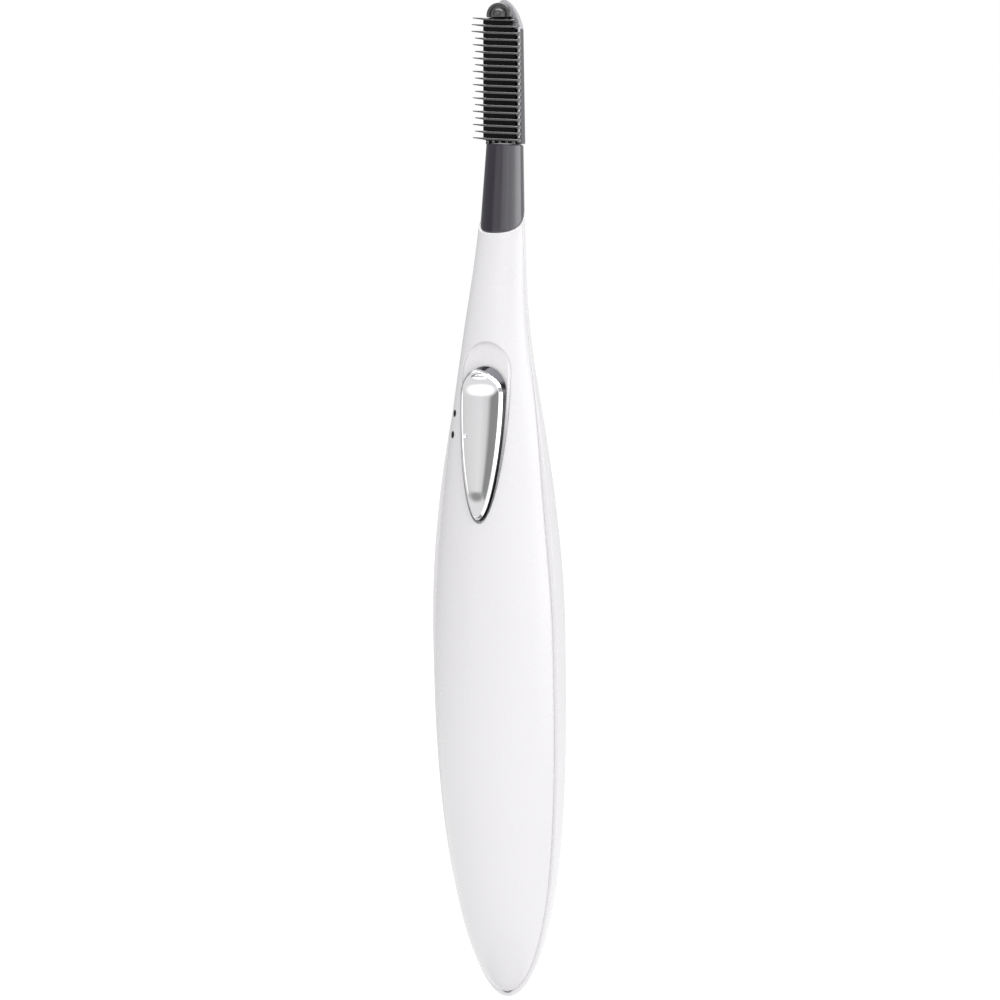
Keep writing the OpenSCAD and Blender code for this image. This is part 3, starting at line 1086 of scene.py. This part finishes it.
@dataclass
class ThumbSlide:
    """The chrome teardrop slide with its scooped face, and the parts it carries."""

    around: int = 200
    steps: int = 56
    wall_lean: float = 0.85
    lean_turn: float = 62.0
    base_in: float = 0.15
    wall_in: float = 0.24
    rim_drop: float = 0.6
    rim_width: float = 0.34
    scoop: float = 0.5
    scoop_step: float = 0.12
    scoop_edge: float = 0.15
    scoop_low: tuple[float, float] = (-8.6, -6.4)
    scoop_high: tuple[float, float] = (6.0, 8.4)
    ridge: tuple[float, float, float, float] = (9.0, 1.45, 0.3, 0.1)
    dimple: tuple[float, float, float] = (-2.1, 1.0, 0.32)
    heart: float = 3.0
    stem: tuple[float, float, float] = (1.1, 4.0, 3.3)

    def pared(self, width: float, lean: float) -> list[Flat]:
        """Outline pared in, and leaning towards its upper right.

        Args:
            width: how far it is pared all round.
            lean: how much more at the upper right.

        Returns:
            The outline in local x and z.
        """
        ring = []
        for i, (x, z) in enumerate(SLIDE.outline(-width, 0, self.around)):
            turn = 2 * pi * i / self.around
            more = lean * max(0.0, cos(turn - radians(self.lean_turn))) ** 3
            ring.append((x - more * cos(turn), z - more * sin(turn)))
        return ring

    def edge_at(self, z: float) -> float:
        """Half width of the face at a local height.

        Args:
            z: local height.

        Returns:
            The half width.
        """
        widest = SLIDE.widest * SLIDE.length
        s = z + SLIDE.length / 2
        if s > widest:
            share = 1 - ((s - widest) / (SLIDE.length - widest)) ** 2
        else:
            share = 1 - (max(0.0, widest - s) / widest) ** SLIDE.taper
        return max(0.3, SLIDE.half * sqrt(max(0.0, share)) - self.wall_in - self.rim_width)

    def face_y(self, x: float, z: float) -> float:
        """Height of the face: a scoop for the thumb and a raised oval ridge above it.

        Args:
            x: local width.
            z: local height.

        Returns:
            The face's local depth there.
        """
        edge = self.edge_at(z)
        step = self.scoop_step
        across = step * ramp(0, self.scoop_edge, edge - abs(x))
        across += (1 - step) * max(0.0, 1 - (x / edge) ** 2)
        across *= edge / SLIDE.half
        length = ramp(*self.scoop_low, z) * (1 - ramp(*self.scoop_high, z))
        at, wide, tall, proud = self.ridge
        oval = max(0.0, 1 - (x / wide) ** 2 - ((z - at) / tall) ** 2)
        return -SLIDE.rise + self.scoop * across * length - proud * sqrt(oval)

    @property
    def wall_top(self) -> float:
        """Local height of the skirt's upper edge, where the bright cap begins."""
        return -SLIDE.rise + self.rim_drop

    def lofted(self, walls: Sequence[Vec]) -> list[list[Vec]]:
        """Returns rings of the outline, each from its margin, its lean and its local height."""
        return [[(x, y, z) for x, z in self.pared(width, lean)] for width, lean, y in walls]

    def skirt(self) -> Piece:
        """Builds the knob's skirt, which leans in towards its top end, with the stem; its very dark chrome
        is painted shade for the shadowed gap round the knob's side.

        Returns:
            The skirt.
        """
        base, top = 0.5, self.wall_top + 0.005
        rings = self.lofted(((self.base_in + 0.05, 0, base), (self.base_in, 0, base - 0.05),
                             (self.wall_in, self.wall_lean, top)))
        rings = [[(0, base, 0)], *rings, [(0, top, 0)]]
        skirt = Bench.skin("thumb_slide_skirt", [[SLIDE.world(*p) for p in ring] for ring in rings])
        half, tall, deep = self.stem
        stem = Bench.block("stem", (-half, base - 0.1, -tall), (half, deep, tall))
        Bench.ease(stem, 0.1)
        for point in stem.data.vertices:
            point.co = SLIDE.world(*point.co)
        Bench.cut(skirt, stem, "UNION")
        return skirt

    def knob(self) -> Piece:
        """Builds the bright cap: bevelled rim, scooped face and dimple.

        Returns:
            The cap.
        """
        top, wall, rim = -SLIDE.rise, self.wall_in, self.wall_in + self.rim_width
        walls = ((wall + 0.04, self.wall_top), (wall, self.wall_top - 0.04),
                 (wall + 0.04, self.wall_top - 0.09), (rim - 0.03, top + 0.04),
                 (rim, top + 0.01), (rim + 0.06, top))
        rings = self.lofted([(width, self.wall_lean, y) for width, y in walls])
        last = [(x, z) for x, _, z in rings[-1]]
        for i in range(1, self.steps):
            share = 1 - i / self.steps
            ring = [(x * share, self.heart + (z - self.heart) * share) for x, z in last]
            rings.append([(x, self.face_y(x, z), z) for x, z in ring])
        rings = [[(0, self.wall_top, 0)], *rings, [(0, self.face_y(0, self.heart), self.heart)]]
        knob = Bench.skin("thumb_slide_cap", [[SLIDE.world(*p) for p in ring] for ring in rings])
        x, z, r = self.dimple
        Bench.clear()
        bpy.ops.mesh.primitive_uv_sphere_add(segments=24, ring_count=12, radius=r,
                                             location=SLIDE.world(x, self.face_y(x, z) - 0.1, z))
        Bench.cut(knob, Bench.settle("dimple_tool"))
        return knob

    def build(self) -> None:
        """Builds and fixes the knob, and dresses what it carries and runs on."""
        # The skirt's very dark chrome is painted shade for the gap round the knob; the cap above it is the
        # knob's own chrome.
        Bench.hand_over(self.skirt(), Finishes.CHROME_PAINTED_SHADE, Body.SWITCH, "switch_knob", angle=38)
        Bench.hand_over(self.knob(), Finishes.CHROME, Body.SWITCH, "switch_knob", angle=38)
        dress("switch_slider", Finishes.BLACK_PLASTIC)
        dress("switch_wiper", Finishes.COPPER)
        dress("detent_spring", Finishes.STEEL)
        dress("switch_board", Finishes.BOARD)
        dress("contact_pads", Finishes.COPPER)


# ---------------------------------------------------------------- the neck


@dataclass
class Neck:
    """The dark tapering neck between the case and the comb head."""

    y: float = -2.05
    z: float = 104.0
    tilt: float = 4.7
    length: float = 13.2
    low_r: float = 3.13
    top_r: float = 2.54
    clear: float = 0.06
    edge: float = 0.07
    bore: float = 1.3
    sides: int = 72
    rows: int = 30
    passes: int = 12

    def world(self, x: float, y: float, z: float) -> Vec:
        """Returns a local point's place in the row frame."""
        c, s = cos(radians(self.tilt)), sin(radians(self.tilt))
        return (x, self.y + y * c + z * s, self.z - y * s + z * c)

    def radius(self, z: float) -> float:
        """Returns the radius at a local height."""
        return mix(self.low_r, self.top_r, z / self.length)

    def seat(self, turn: float) -> float:
        """Finds where the neck meets the case's top edge.

        Args:
            turn: angle round the neck.

        Returns:
            The local height of the joint.
        """
        z = 2.0
        for _ in range(self.passes):
            r = self.radius(z)
            place = self.world(r * cos(turn), r * sin(turn), z)
            rim_y = min(place[1], CASE.skin_y(place[0], CASE.top, Side.REAR))
            z += CASE.top + self.clear + CASE.joint_rise(rim_y) - place[2]
        return z

    def sleeve(self) -> Piece:
        """Builds the sleeve, its lower end cut to the case's curved top edge.

        Returns:
            The sleeve.
        """
        turns = [2 * pi * i / self.sides for i in range(self.sides)]
        seats = [self.seat(t) for t in turns]

        def ring(inset: float, lift: float) -> list[Vec]:
            """Returns a ring that follows the lower edge."""
            points = []
            for turn, z in zip(turns, seats):
                r = self.radius(z + lift) - inset
                points.append(self.world(r * cos(turn), r * sin(turn), z + lift))
            return points

        def level(share: float, inset: float, drop: float) -> list[Vec]:
            """Returns a ring at a share of the way from the lower edge to the flat top."""
            points = []
            for turn, low in zip(turns, seats):
                z = mix(low + self.edge, self.length, share) - drop
                r = self.radius(z) - inset
                points.append(self.world(r * cos(turn), r * sin(turn), z))
            return points

        e = self.edge
        rings = [[self.world(0, 0, 3)], ring(self.bore, 0), ring(e, 0), ring(CORNER * e, CORNER * e)]
        rings += [level(i / self.rows, 0, 0) for i in range(self.rows)]
        rings += [level(1, 0, 0.16), level(1, 0.05, 0.05), level(1, 0.16, 0)]
        rings.append([self.world(0, 0, self.length)])
        return Bench.skin("neck_sleeve_tube", rings)

    def build(self) -> None:
        """Builds and fixes the sleeve."""
        Bench.hand_over(self.sleeve(), Finishes.SMOKE, Body.ROOT, "neck_sleeve")
        dress("neck_seal", Finishes.RUBBER)


# ---------------------------------------------------------------- the comb head


@dataclass
class Head:
    """The comb head: channel frame, rounded tip guard, black comb with needle teeth, and the heater."""

    low: float = 117.25
    top: float = 132.9
    front: float = -1.5
    back: tuple[float, float] = (1.2, 0.9)
    half: tuple[float, float] = (2.6, 2.45)
    corner: float = 1.45
    wall: float = 0.6
    total: float = 137.0
    fin_count: int = 19
    fin_low: float = 117.82
    fin_pitch: float = 0.907
    fin_t: float = 0.3
    fin_left: float = -2.7
    fin_right: float = 2.62
    fin_roll: float = 3.0
    fin_profile: tuple[Flat, ...] = ((-1.1, -2.76), (-0.4, -2.84), (0.4, -2.95), (1.2, -2.92))
    fin_edge: float = 0.135
    needles: tuple[float, float] = (1.34, 1.02)
    needle_r: tuple[float, float] = (0.2, 0.07)
    end_fins: tuple[Flat, ...] = ((0.0, 0.5), (0.14, 0.22), (0.18, 0.06))
    ribs: tuple[float, ...] = (-1.9, -1.05, -0.1, 0.9, 1.85)
    guard_crown: float = 1.35
    guard_power: float = 0.6
    disc_r: float = 1.74
    disc_x: float = -0.15
    disc_depth: float = 1.05
    disc_z: float = 134.75
    disc_front: float = -3.2
    groove: tuple[float, float] = (1.32, 1.02)
    dome: tuple[Flat, ...] = ((0.8, -0.6), (0.8, -0.05), (0.78, 0.03), (0.66, 0.12), (0.5, 0.17),
                              (0.3, 0.13), (0.12, 0.11))

    def section(self, z: float, inset: float, forward: float, count: int = 12) -> list[Vec]:
        """Ring round the head at a height: square at the front, rounded at the back.

        Args:
            z: height.
            inset: how far the ring lies inside the outer face.
            forward: where the ring's front lies.
            count: points on each rounded corner.

        Returns:
            The ring's points.
        """
        share = (z - self.low) / (self.top - self.low)
        half, back = mix(*self.half, share) - inset, mix(*self.back, share) - inset
        r = max(0.2, self.corner - inset)
        ring = [(-half, forward, z), (half, forward, z)]
        for side, first in ((1, 0), (-1, 90)):
            for i in range(count + 1):
                turn = radians(first + 90 * i / count)
                ring.append((side * (half - r) + r * cos(turn), back - r + r * sin(turn), z))
        return ring

    def frame_channel(self) -> Piece:
        """Builds the channel frame: walls and back with a floor, open to the front, on a round plug.

        Returns:
            The frame.
        """
        e = 0.12
        rings = [self.section(self.low, 2 * e, self.front + e),
                 self.section(self.low + CORNER * e, CORNER * e, self.front)]
        rings += [self.section(mix(self.low + e, self.top, i / 12), 0, self.front) for i in range(13)]
        rings = [[(0, -0.2, self.low)], *rings, [(0, -0.2, self.top)]]
        body = Bench.skin("head_frame_channel", rings)
        floor, over, out = self.low + self.wall, self.top + 0.5, self.front - 1
        hollow = Bench.skin("hollow_tool", [[(0, -0.5, floor)], self.section(floor, self.wall, out),
                                            self.section(over, self.wall, out), [(0, -0.5, over)]])
        Bench.cut(body, hollow)
        Bench.ease(body, 0.07, 2, 60)
        return body

    def guard(self) -> Piece:
        """Builds the rounded end of the head, with pale strips behind the fin ends whose light tone is
        painted highlight for the glints between the fins.

        Returns:
            The guard and its highlight strips, in one piece.
        """
        low = self.top + 0.04
        half, back = self.half[1], self.back[1]
        rings = []
        for i in range(15):
            turn = radians(90 * i / 14)
            lift = sin(turn)
            wide = max(0.0, 1 - lift ** self.guard_crown) ** self.guard_power
            deep = max(wide, 0.02) ** self.guard_power
            z = low + (self.total - low) * lift
            rings.append([(x * wide, min(self.front + 0.05 + (y - self.front) * deep, back), z)
                          for x, y, _ in self.section(self.top, 0, self.front)])
        rings = [[(0, -0.2, low)], *rings[:-1], [(0, self.front + 0.1, self.total)]]
        cap = Bench.skin("tip_guard_cap", rings)
        Bench.ease(cap, 0.06, 2, 60)
        # Pale strips in the guard's grey behind the right ends of the fins: painted highlight for the
        # small glints between the fins.
        glint_strips = []
        for side in (-1, 1):
            x = side * (half - 0.13)
            glint_strip = Bench.block("painted_glint_strip", (x - 0.12, self.front - 0.5, self.low + 0.75),
                                (x + 0.12, self.front + 0.1, low + 0.3))
            Bench.ease(glint_strip, 0.1)
            glint_strips.append(glint_strip)
        return Bench.join([cap, *glint_strips])

    def fin(self, name: str, needle: float, trim: float) -> Piece:
        """Builds one cross fin with its needle tooth, at the lowest place.

        Args:
            name: the piece's name.
            needle: how far the tooth stands out to the left.
            trim: how much is taken off the right end.

        Returns:
            The fin.
        """
        left, right = self.fin_left, self.fin_right - trim
        rear, z = self.front - 0.1, self.fin_low
        front = [(left, -2.62), (left + 0.25, -2.74), *self.fin_profile,
                 (right - 0.5, -2.82), (right - 0.12, -2.66), (right, -2.4)]
        outline = [(left, rear - 0.2), *front, (right, rear)]
        half = self.fin_t / 2
        rings = [[(0, -2.1, z - half)], [(x, y, z - half) for x, y in outline],
                 [(x, y, z + half) for x, y in outline], [(0, -2.1, z + half)]]
        fin = Bench.skin(name, rings)
        Bench.ease(fin, self.fin_edge, 4, 50)
        web = Bench.block("web", (right - 0.42, rear - 0.85, z - 0.27),
                          (right - 0.04, rear + 0.1, z + 0.27))
        Bench.ease(web, 0.08)
        Bench.cut(fin, web, "UNION")
        root = (left + 0.5, -2.35, z + 0.06)
        tooth = Bench.rod("tooth", root, (left - needle, -2.75, z + 0.12), *self.needle_r, 16)
        Bench.cut(fin, tooth, "UNION")
        Bench.turn(fin, self.fin_roll, "Y", (0, 0, z))
        return fin

    def fins(self) -> Piece:
        """Models a long-toothed and a short-toothed fin and copies them up the comb.

        Returns:
            The fins, in one piece.
        """
        masters = [self.fin("fin_long", self.needles[0], 0), self.fin("fin_short", self.needles[1], 0)]
        made = []
        for i in range(self.fin_count):
            from_top = self.fin_count - 1 - i
            shift = (0, 0, i * self.fin_pitch)
            if from_top < len(self.end_fins):
                longer, trim = self.end_fins[from_top]
                own = self.fin("fin_end", self.needles[0] + longer, trim)
                made.append(Bench.copy(own, "fin", shift))
                bpy.data.objects.remove(own)
            else:
                made.append(Bench.copy(masters[i % 2], "fin", shift))
        for master in masters:
            bpy.data.objects.remove(master)
        return Bench.join(made)

    def spine(self) -> Piece:
        """Builds the comb's flat matt spine, which carries the fins; its finish is darker than the comb's
        own, painted shade for the gaps between the fins.

        Returns:
            The spine.
        """
        left, y = self.fin_left + 0.04, self.front
        spine = Bench.block("comb_spine", (left, y - 0.95, self.low + 0.65), (1.95, y + 0.2, self.top))
        Bench.ease(spine, 0.1)
        foot = Bench.block("foot", (-2.25, y - 1.0, self.low + 0.02), (2.35, y + 0.1, self.low + 0.6))
        Bench.ease(foot, 0.12)
        Bench.cut(spine, foot, "UNION")
        rear = self.disc_front + self.disc_depth + 0.02
        tongues = ((left, 1.4, y - 0.95, self.disc_z - 0.3),
                   (self.disc_x - 1.4, self.disc_x + 1.4, rear, self.disc_z + 0.5))
        for low_x, high_x, front, high in tongues:
            tongue = Bench.block("tongue", (low_x, front, self.top - 0.3), (high_x, y - 0.06, high))
            Bench.ease(tongue, 0.08)
            Bench.cut(spine, tongue, "UNION")
        return spine

    def comb(self) -> Piece:
        """Builds the comb's glossy parts: ribs on its foot, cross fins and grooved end disc.

        Returns:
            The comb.
        """
        y, ribs = self.front, []
        for x in self.ribs:
            rib = Bench.block("rib", (x - 0.24, y - 1.3, self.low - 0.1),
                              (x + 0.24, y - 0.6, self.low + 0.42))
            Bench.ease(rib, 0.12, 3)
            ribs.append(rib)
        comb = Bench.join([*ribs, self.disc(), self.fins()])
        comb.name = "comb_with_fins"
        return comb

    def disc(self) -> Piece:
        """Builds the end disc: a half round boss with a ring groove, on a short tongue.

        Returns:
            The disc.
        """
        r, x, z, y = self.disc_r, self.disc_x, self.disc_z, self.disc_front
        disc = Bench.rod("disc", (x, y + self.disc_depth, z), (x, y, z), r, sides=72)
        tongue = Bench.block("tongue_tool", (-3, y - 1, z - 3), (3, self.front + 1, z - 0.25))
        Bench.cut(disc, tongue)
        Bench.ease(disc, 0.13, 3, 60)
        outer, inner = self.groove
        groove = Bench.rod("groove_tool", (x, y - 1, z + 0.1), (x, y + 0.45, z + 0.1), outer, sides=64)
        core = Bench.rod("core_tool", (x, y - 2, z + 0.1), (x, y + 1, z + 0.1), inner, sides=64)
        Bench.cut(groove, core)
        Bench.cut(disc, groove)
        return disc

    def pin(self) -> Piece:
        """Builds the domed pin in the end disc, its lower part cut off as the disc's is.

        Returns:
            The pin.
        """
        x, z, y = self.disc_x, self.disc_z + 0.12, self.disc_front
        rings = [[(x, y + 1, z)]]
        turns = [2 * pi * i / 40 for i in range(40)]
        for r, proud in self.dome:
            rings.append([(x + r * cos(turn), y - proud, z + r * sin(turn)) for turn in turns])
        pin = Bench.skin("comb_pin_dome", [*rings, [(x, y - 0.1, z)]])
        Bench.cut(pin, Bench.block("pin_tool", (-2, y - 2, z - 2), (2, y + 2, z - 0.3)))
        return pin

    def build(self) -> None:
        """Builds and fixes the head's pieces, and dresses the heater behind the comb."""
        Bench.hand_over(self.frame_channel(), Finishes.SMOKE, Body.ROOT, "head_frame", angle=40)
        Bench.hand_over(self.guard(), Finishes.TIP_GREY, Body.ROOT, "tip_guard", angle=45)
        Bench.hand_over(self.comb(), Finishes.COMB_BLACK, Body.ROOT, "comb", angle=45)
        # The spine's darker matt finish is painted shade for the gaps between the fins.
        Bench.hand_over(self.spine(), Finishes.DOT_PRINT_AND_GAP_SHADE, Body.ROOT, "comb")
        Bench.hand_over(self.pin(), Finishes.COMB_BLACK, Body.ROOT, "comb_pin", angle=50)
        dress("heater_plate", Finishes.ALUMINIUM)
        dress("heater_element", Finishes.CERAMIC)
        dress("heater_insulator", Finishes.INSULATOR)
        dress("heater_leads", Finishes.RED_LEAD)
        dress("thermal_fuse", Finishes.FUSE)


# ---------------------------------------------------------------- the battery


@dataclass
class Power:
    """The cell and its contacts, which show when the battery door is off."""

    y: float = -1.85
    z: float = 23.0
    tilt: float = 1.42
    cell_r: float = 5.2
    cell_l: float = 44.5
    turns: float = 4.5
    spring: tuple[float, float, float, float] = (3.6, 1.8, -4.33, -0.3)
    wire: float = 0.25
    sides: int = 64

    def world(self, x: float, y: float, z: float) -> Vec:
        """Returns a point of the cell's frame in the row frame."""
        c, s = cos(radians(self.tilt)), sin(radians(self.tilt))
        return (x, self.y + y * c - z * s, self.z + y * s + z * c)

    def turned(self, name: str, profile: Iterable[Flat]) -> Piece:
        """Builds a round piece on the cell's axis.

        Args:
            name: the piece's name.
            profile: radius and height, from the lower end up.

        Returns:
            The piece.
        """
        turns = [2 * pi * i / self.sides for i in range(self.sides)]
        rings = [[self.world(r * cos(turn), r * sin(turn), z) for turn in turns]
                 if r > 0 else [self.world(0, 0, z)] for r, z in profile]
        return Bench.skin(name, rings)

    def cell(self) -> Piece:
        """Builds the cell: shrunk jacket with rolled ends, steel end discs and the raised terminal.

        Returns:
            The cell.
        """
        r, top, end = self.cell_r, self.cell_l - 1.2, self.cell_l
        return self.turned("battery_cell_body", (
            (0, 0), (3.6, 0), (3.75, 0.14), (4.6, 0.14), (4.75, 0), (r - 0.15, 0), (r, 0.15), (r, 1),
            (r, 12), (r, 30), (r, top - 0.3), (r - 0.1, top - 0.08), (r - 0.3, top), (r - 0.7, top),
            (r - 0.8, top - 0.2), (2.6, top - 0.2), (2.1, top), (1.9, top + 0.1), (1.9, end - 0.15),
            (1.78, end), (0, end)))

    def coil(self) -> Piece:
        """Builds the tapering negative spring as round wire on a spiral.

        Returns:
            The spring.
        """
        low_r, high_r, low, high = self.spring
        steps, sides, rings = 260, 10, []
        for k in range(steps + 1):
            t = k / steps
            turn, r, z = 2 * pi * self.turns * t, mix(low_r, high_r, t), mix(low, high, t)
            ring = []
            for i in range(sides):
                a = 2 * pi * i / sides
                out = r + self.wire * cos(a)
                ring.append(self.world(out * cos(turn), out * sin(turn), z + self.wire * sin(a)))
            rings.append(ring)
        ends = [[tuple(sum(p[i] for p in ring) / sides for i in range(3))]
                for ring in (rings[0], rings[-1])]
        return Bench.skin("negative_spring_coil", [ends[0], *rings, ends[1]])

    def build(self) -> None:
        """Builds and fixes the cell and the spring, and dresses the other contacts and leads."""
        Bench.hand_over(self.cell(), Finishes.CELL, Body.ROOT, "battery_cell")
        Bench.hand_over(self.coil(), Finishes.STEEL, Body.ROOT, "negative_spring", angle=60)
        dress("battery_cradle", Finishes.CRADLE)
        dress("positive_contact", Finishes.STEEL)
        dress("negative_contact", Finishes.STEEL)
        dress("positive_lead", Finishes.RED_LEAD)
        dress("negative_lead", Finishes.BLACK_LEAD)


# ---------------------------------------------------------------- the studio


@dataclass
class Studio:
    """Pale floor, soft light and the camera."""

    azimuth: float = 21.0
    elevation: float = 2.0
    lens: float = 200.0
    view_height: float = 0.1373
    aim_side: float = -0.00103
    aim_z: float = 0.0685
    floor_z: float = -0.0005
    glow_azimuth: float = 60.0
    glow_elevation: float = 5.0
    glow: float = 0.19
    base: float = 0.86
    full: float = 8.0
    panels: tuple[Flat, ...] = (
        (-180, 0.8), (-155, 0.45), (-110, 0.35), (-66, 0.3), (-38, 0.27), (-32, 0.7), (-21, 0.82),
        (0, 0.74), (14, 0.6), (34, 0.8), (52, 1.5), (84, 2.1), (99, 3.3), (132, 3.3), (137, 0.85),
        (180, 0.8))
    levels: tuple[Flat, ...] = (
        (-90, 0.3), (-46, 0.3), (-36, 1.3), (-12, 1.3), (8, 0.8), (22, 0.25), (36, 0.25), (50, 5.0),
        (90, 6.0))
    amount: tuple[Flat, ...] = (
        (-90, 1.0), (-9, 1.0), (-1, 0.0), (14, 0.0), (22, 0.9), (52, 1.0), (90, 1.0))
    sensor: float = 36.0
    aim: Vec = (0, 0, 0.07)

    def direction(self, azimuth: float, elevation: float) -> Vector:
        """Returns the unit vector towards an azimuth, from the front to the right, and an elevation."""
        a, e = radians(azimuth), radians(elevation)
        return Vector((sin(a) * cos(e), -cos(a) * cos(e), sin(e)))

    def camera(self) -> None:
        """Sets the camera at its angle, far off with a long lens."""
        data = bpy.data.cameras.new("camera")
        data.lens, data.sensor_width, data.clip_start = self.lens, self.sensor, 0.01
        eye = bpy.data.objects.new("camera", data)
        a = radians(self.azimuth)
        aim = Vector((cos(a), sin(a), 0)) * self.aim_side + Vector((0, 0, self.aim_z))
        way = self.direction(self.azimuth, self.elevation)
        eye.location = aim + way * (self.view_height * self.lens / self.sensor)
        eye.rotation_euler = way.to_track_quat("Z", "Y").to_euler()
        bpy.context.scene.collection.objects.link(eye)
        bpy.context.scene.camera = eye

    def softbox(self, name: str, azimuth: float, elevation: float, distance: float, size: Flat,
                power: float) -> None:
        """Hangs a rectangular softbox facing the object.

        Args:
            name: the light's name.
            azimuth: where it hangs, from the front to the right.
            elevation: how high it hangs, as an angle.
            distance: how far off, in metres.
            size: its width and height, in metres.
            power: its power, in watts.
        """
        data = bpy.data.lights.new(name, "AREA")
        data.shape, data.size, data.size_y, data.energy = "RECTANGLE", *size, power
        lamp = bpy.data.objects.new(name, data)
        way = self.direction(azimuth, elevation)
        lamp.location = Vector(self.aim) + way * distance
        lamp.rotation_euler = way.to_track_quat("Z", "Y").to_euler()
        lamp.visible_camera = False
        bpy.context.scene.collection.objects.link(lamp)

    def light_ramp(self, tree: Tree, fraction: Socket, stops: Sequence[Flat]) -> Socket:
        """Adds a smooth ramp of light over an angle.

        Args:
            tree: the world's nodes.
            fraction: socket with the angle, in radians.
            stops: angles in degrees and the light there.

        Returns:
            The socket with the light.
        """
        scale = tree.nodes.new("ShaderNodeMapRange")
        scale.inputs["From Min"].default_value, scale.inputs["From Max"].default_value = -pi, pi
        tree.links.new(fraction, scale.inputs["Value"])
        band = tree.nodes.new("ShaderNodeValToRGB")
        band.color_ramp.interpolation = "LINEAR"
        marks = band.color_ramp.elements
        while len(marks) < len(stops):
            marks.new(0.5)
        for mark, (angle, light) in zip(marks, stops):
            mark.position = angle / 360 + 0.5
            mark.color = (light / self.full, light / self.full, light / self.full, 1)
        tree.links.new(scale.outputs["Result"], band.inputs["Fac"])
        return band.outputs["Color"]

    def mirrored(self, tree: Tree, place: Socket) -> Socket:
        """Makes the room that glossy surfaces show: upright panels, with bands above and below.

        Args:
            tree: the world's nodes.
            place: socket with the direction looked in.

        Returns:
            The socket with the light.
        """
        split = tree.nodes.new("ShaderNodeSeparateXYZ")
        tree.links.new(place, split.inputs[0])
        flip = self.maths(tree, "MULTIPLY", split.outputs["Y"], -1.0)
        turn = self.maths(tree, "ARCTAN2", split.outputs["X"], flip)
        rise = self.maths(tree, "ARCSINE", split.outputs["Z"])
        panels = self.light_ramp(tree, turn, self.panels)
        levels = self.light_ramp(tree, rise, self.levels)
        amount = self.light_ramp(tree, rise, self.amount)
        blend = tree.nodes.new("ShaderNodeMix")
        blend.data_type = "RGBA"
        scaled = self.maths(tree, "MULTIPLY", amount, self.full)
        tree.links.new(scaled, blend.inputs["Factor"])
        tree.links.new(panels, blend.inputs["A"])
        tree.links.new(levels, blend.inputs["B"])
        return blend.outputs["Result"]

    @staticmethod
    def maths(tree: Tree, operation: str, first: Socket, second: Value | None = None) -> Socket:
        """Adds a maths node.

        Args:
            tree: the world's nodes.
            operation: the node's operation.
            first: socket with the first value.
            second: number or socket with the second value, if it has one.

        Returns:
            The socket with the result.
        """
        node = tree.nodes.new("ShaderNodeMath")
        node.operation = operation
        tree.links.new(first, node.inputs[0])
        if isinstance(second, float):
            node.inputs[1].default_value = second
        elif second is not None:
            tree.links.new(second, node.inputs[1])
        return node.outputs["Value"]

    def world(self) -> None:
        """Lights the room: a soft slope for matt surfaces, panels for glossy ones, white behind."""
        world = bpy.data.worlds.new("studio")
        world.use_nodes = True
        world.cycles.sampling_method = "NONE"
        bpy.context.scene.world = world
        tree = world.node_tree
        tree.nodes.clear()
        place = tree.nodes.new("ShaderNodeTexCoord").outputs["Generated"]
        toward = tree.nodes.new("ShaderNodeVectorMath")
        toward.operation = "DOT_PRODUCT"
        tree.links.new(place, toward.inputs[0])
        toward.inputs[1].default_value = self.direction(self.glow_azimuth, self.glow_elevation)
        slope = tree.nodes.new("ShaderNodeMapRange")
        slope.inputs["From Min"].default_value = -1
        slope.inputs["To Min"].default_value = self.base - self.glow
        slope.inputs["To Max"].default_value = self.base + self.glow
        tree.links.new(toward.outputs["Value"], slope.inputs["Value"])
        path, out = tree.nodes.new("ShaderNodeLightPath"), tree.nodes.new("ShaderNodeOutputWorld")
        lights = []
        for _ in range(3):
            lights.append(tree.nodes.new("ShaderNodeBackground"))
            lights[-1].inputs["Color"].default_value = (1, 1, 1, 1)
        room, gloss, plain = lights
        tree.links.new(slope.outputs["Result"], room.inputs["Strength"])
        tree.links.new(self.mirrored(tree, place), gloss.inputs["Color"])
        gloss.inputs["Strength"].default_value = self.full
        last = room
        for test, light in (("Is Glossy Ray", gloss), ("Is Camera Ray", plain)):
            pick = tree.nodes.new("ShaderNodeMixShader")
            tree.links.new(path.outputs[test], pick.inputs["Fac"])
            tree.links.new(last.outputs[0], pick.inputs[1])
            tree.links.new(light.outputs[0], pick.inputs[2])
            last = pick
        tree.links.new(last.outputs[0], out.inputs["Surface"])

    def floor(self) -> None:
        """Lays the pale floor, which the object doesn't mirror or take light from."""
        Bench.clear()
        bpy.ops.mesh.primitive_plane_add(size=6, location=(0, 0, self.floor_z))
        floor = Bench.settle("floor")
        made = bpy.data.materials.new("floor_white")
        made.use_nodes = True
        shader = made.node_tree.nodes["Principled BSDF"]
        shader.inputs["Base Color"].default_value = (0.5, 0.5, 0.5, 1)
        shader.inputs["Roughness"].default_value = 1.0
        shader.inputs["Specular IOR Level"].default_value = 0.0
        shader.inputs["Emission Color"].default_value = (1, 1, 1, 1)
        shader.inputs["Emission Strength"].default_value = 0.75
        floor.data.materials.append(made)
        floor.visible_diffuse = floor.visible_glossy = floor.visible_shadow = False

    def build(self) -> None:
        """Sets up the camera, the room, the softboxes and the floor."""
        bpy.context.scene.view_settings.view_transform = "Standard"
        self.camera()
        self.world()
        self.floor()
        self.softbox("fill_front", 30, 25, 0.6, (0.4, 0.4), 0.3)


def main() -> None:
    """Builds every sub-assembly in order."""
    logging.basicConfig(level=logging.INFO, format="%(name)s: %(message)s")
    Studio().build()
    for assembly in (Handle(), ThumbSlide(), Neck(), Head(), Power()):
        assembly.build()
        log.info("%s built", type(assembly).__name__)


if __name__ == "__main__":
    main()
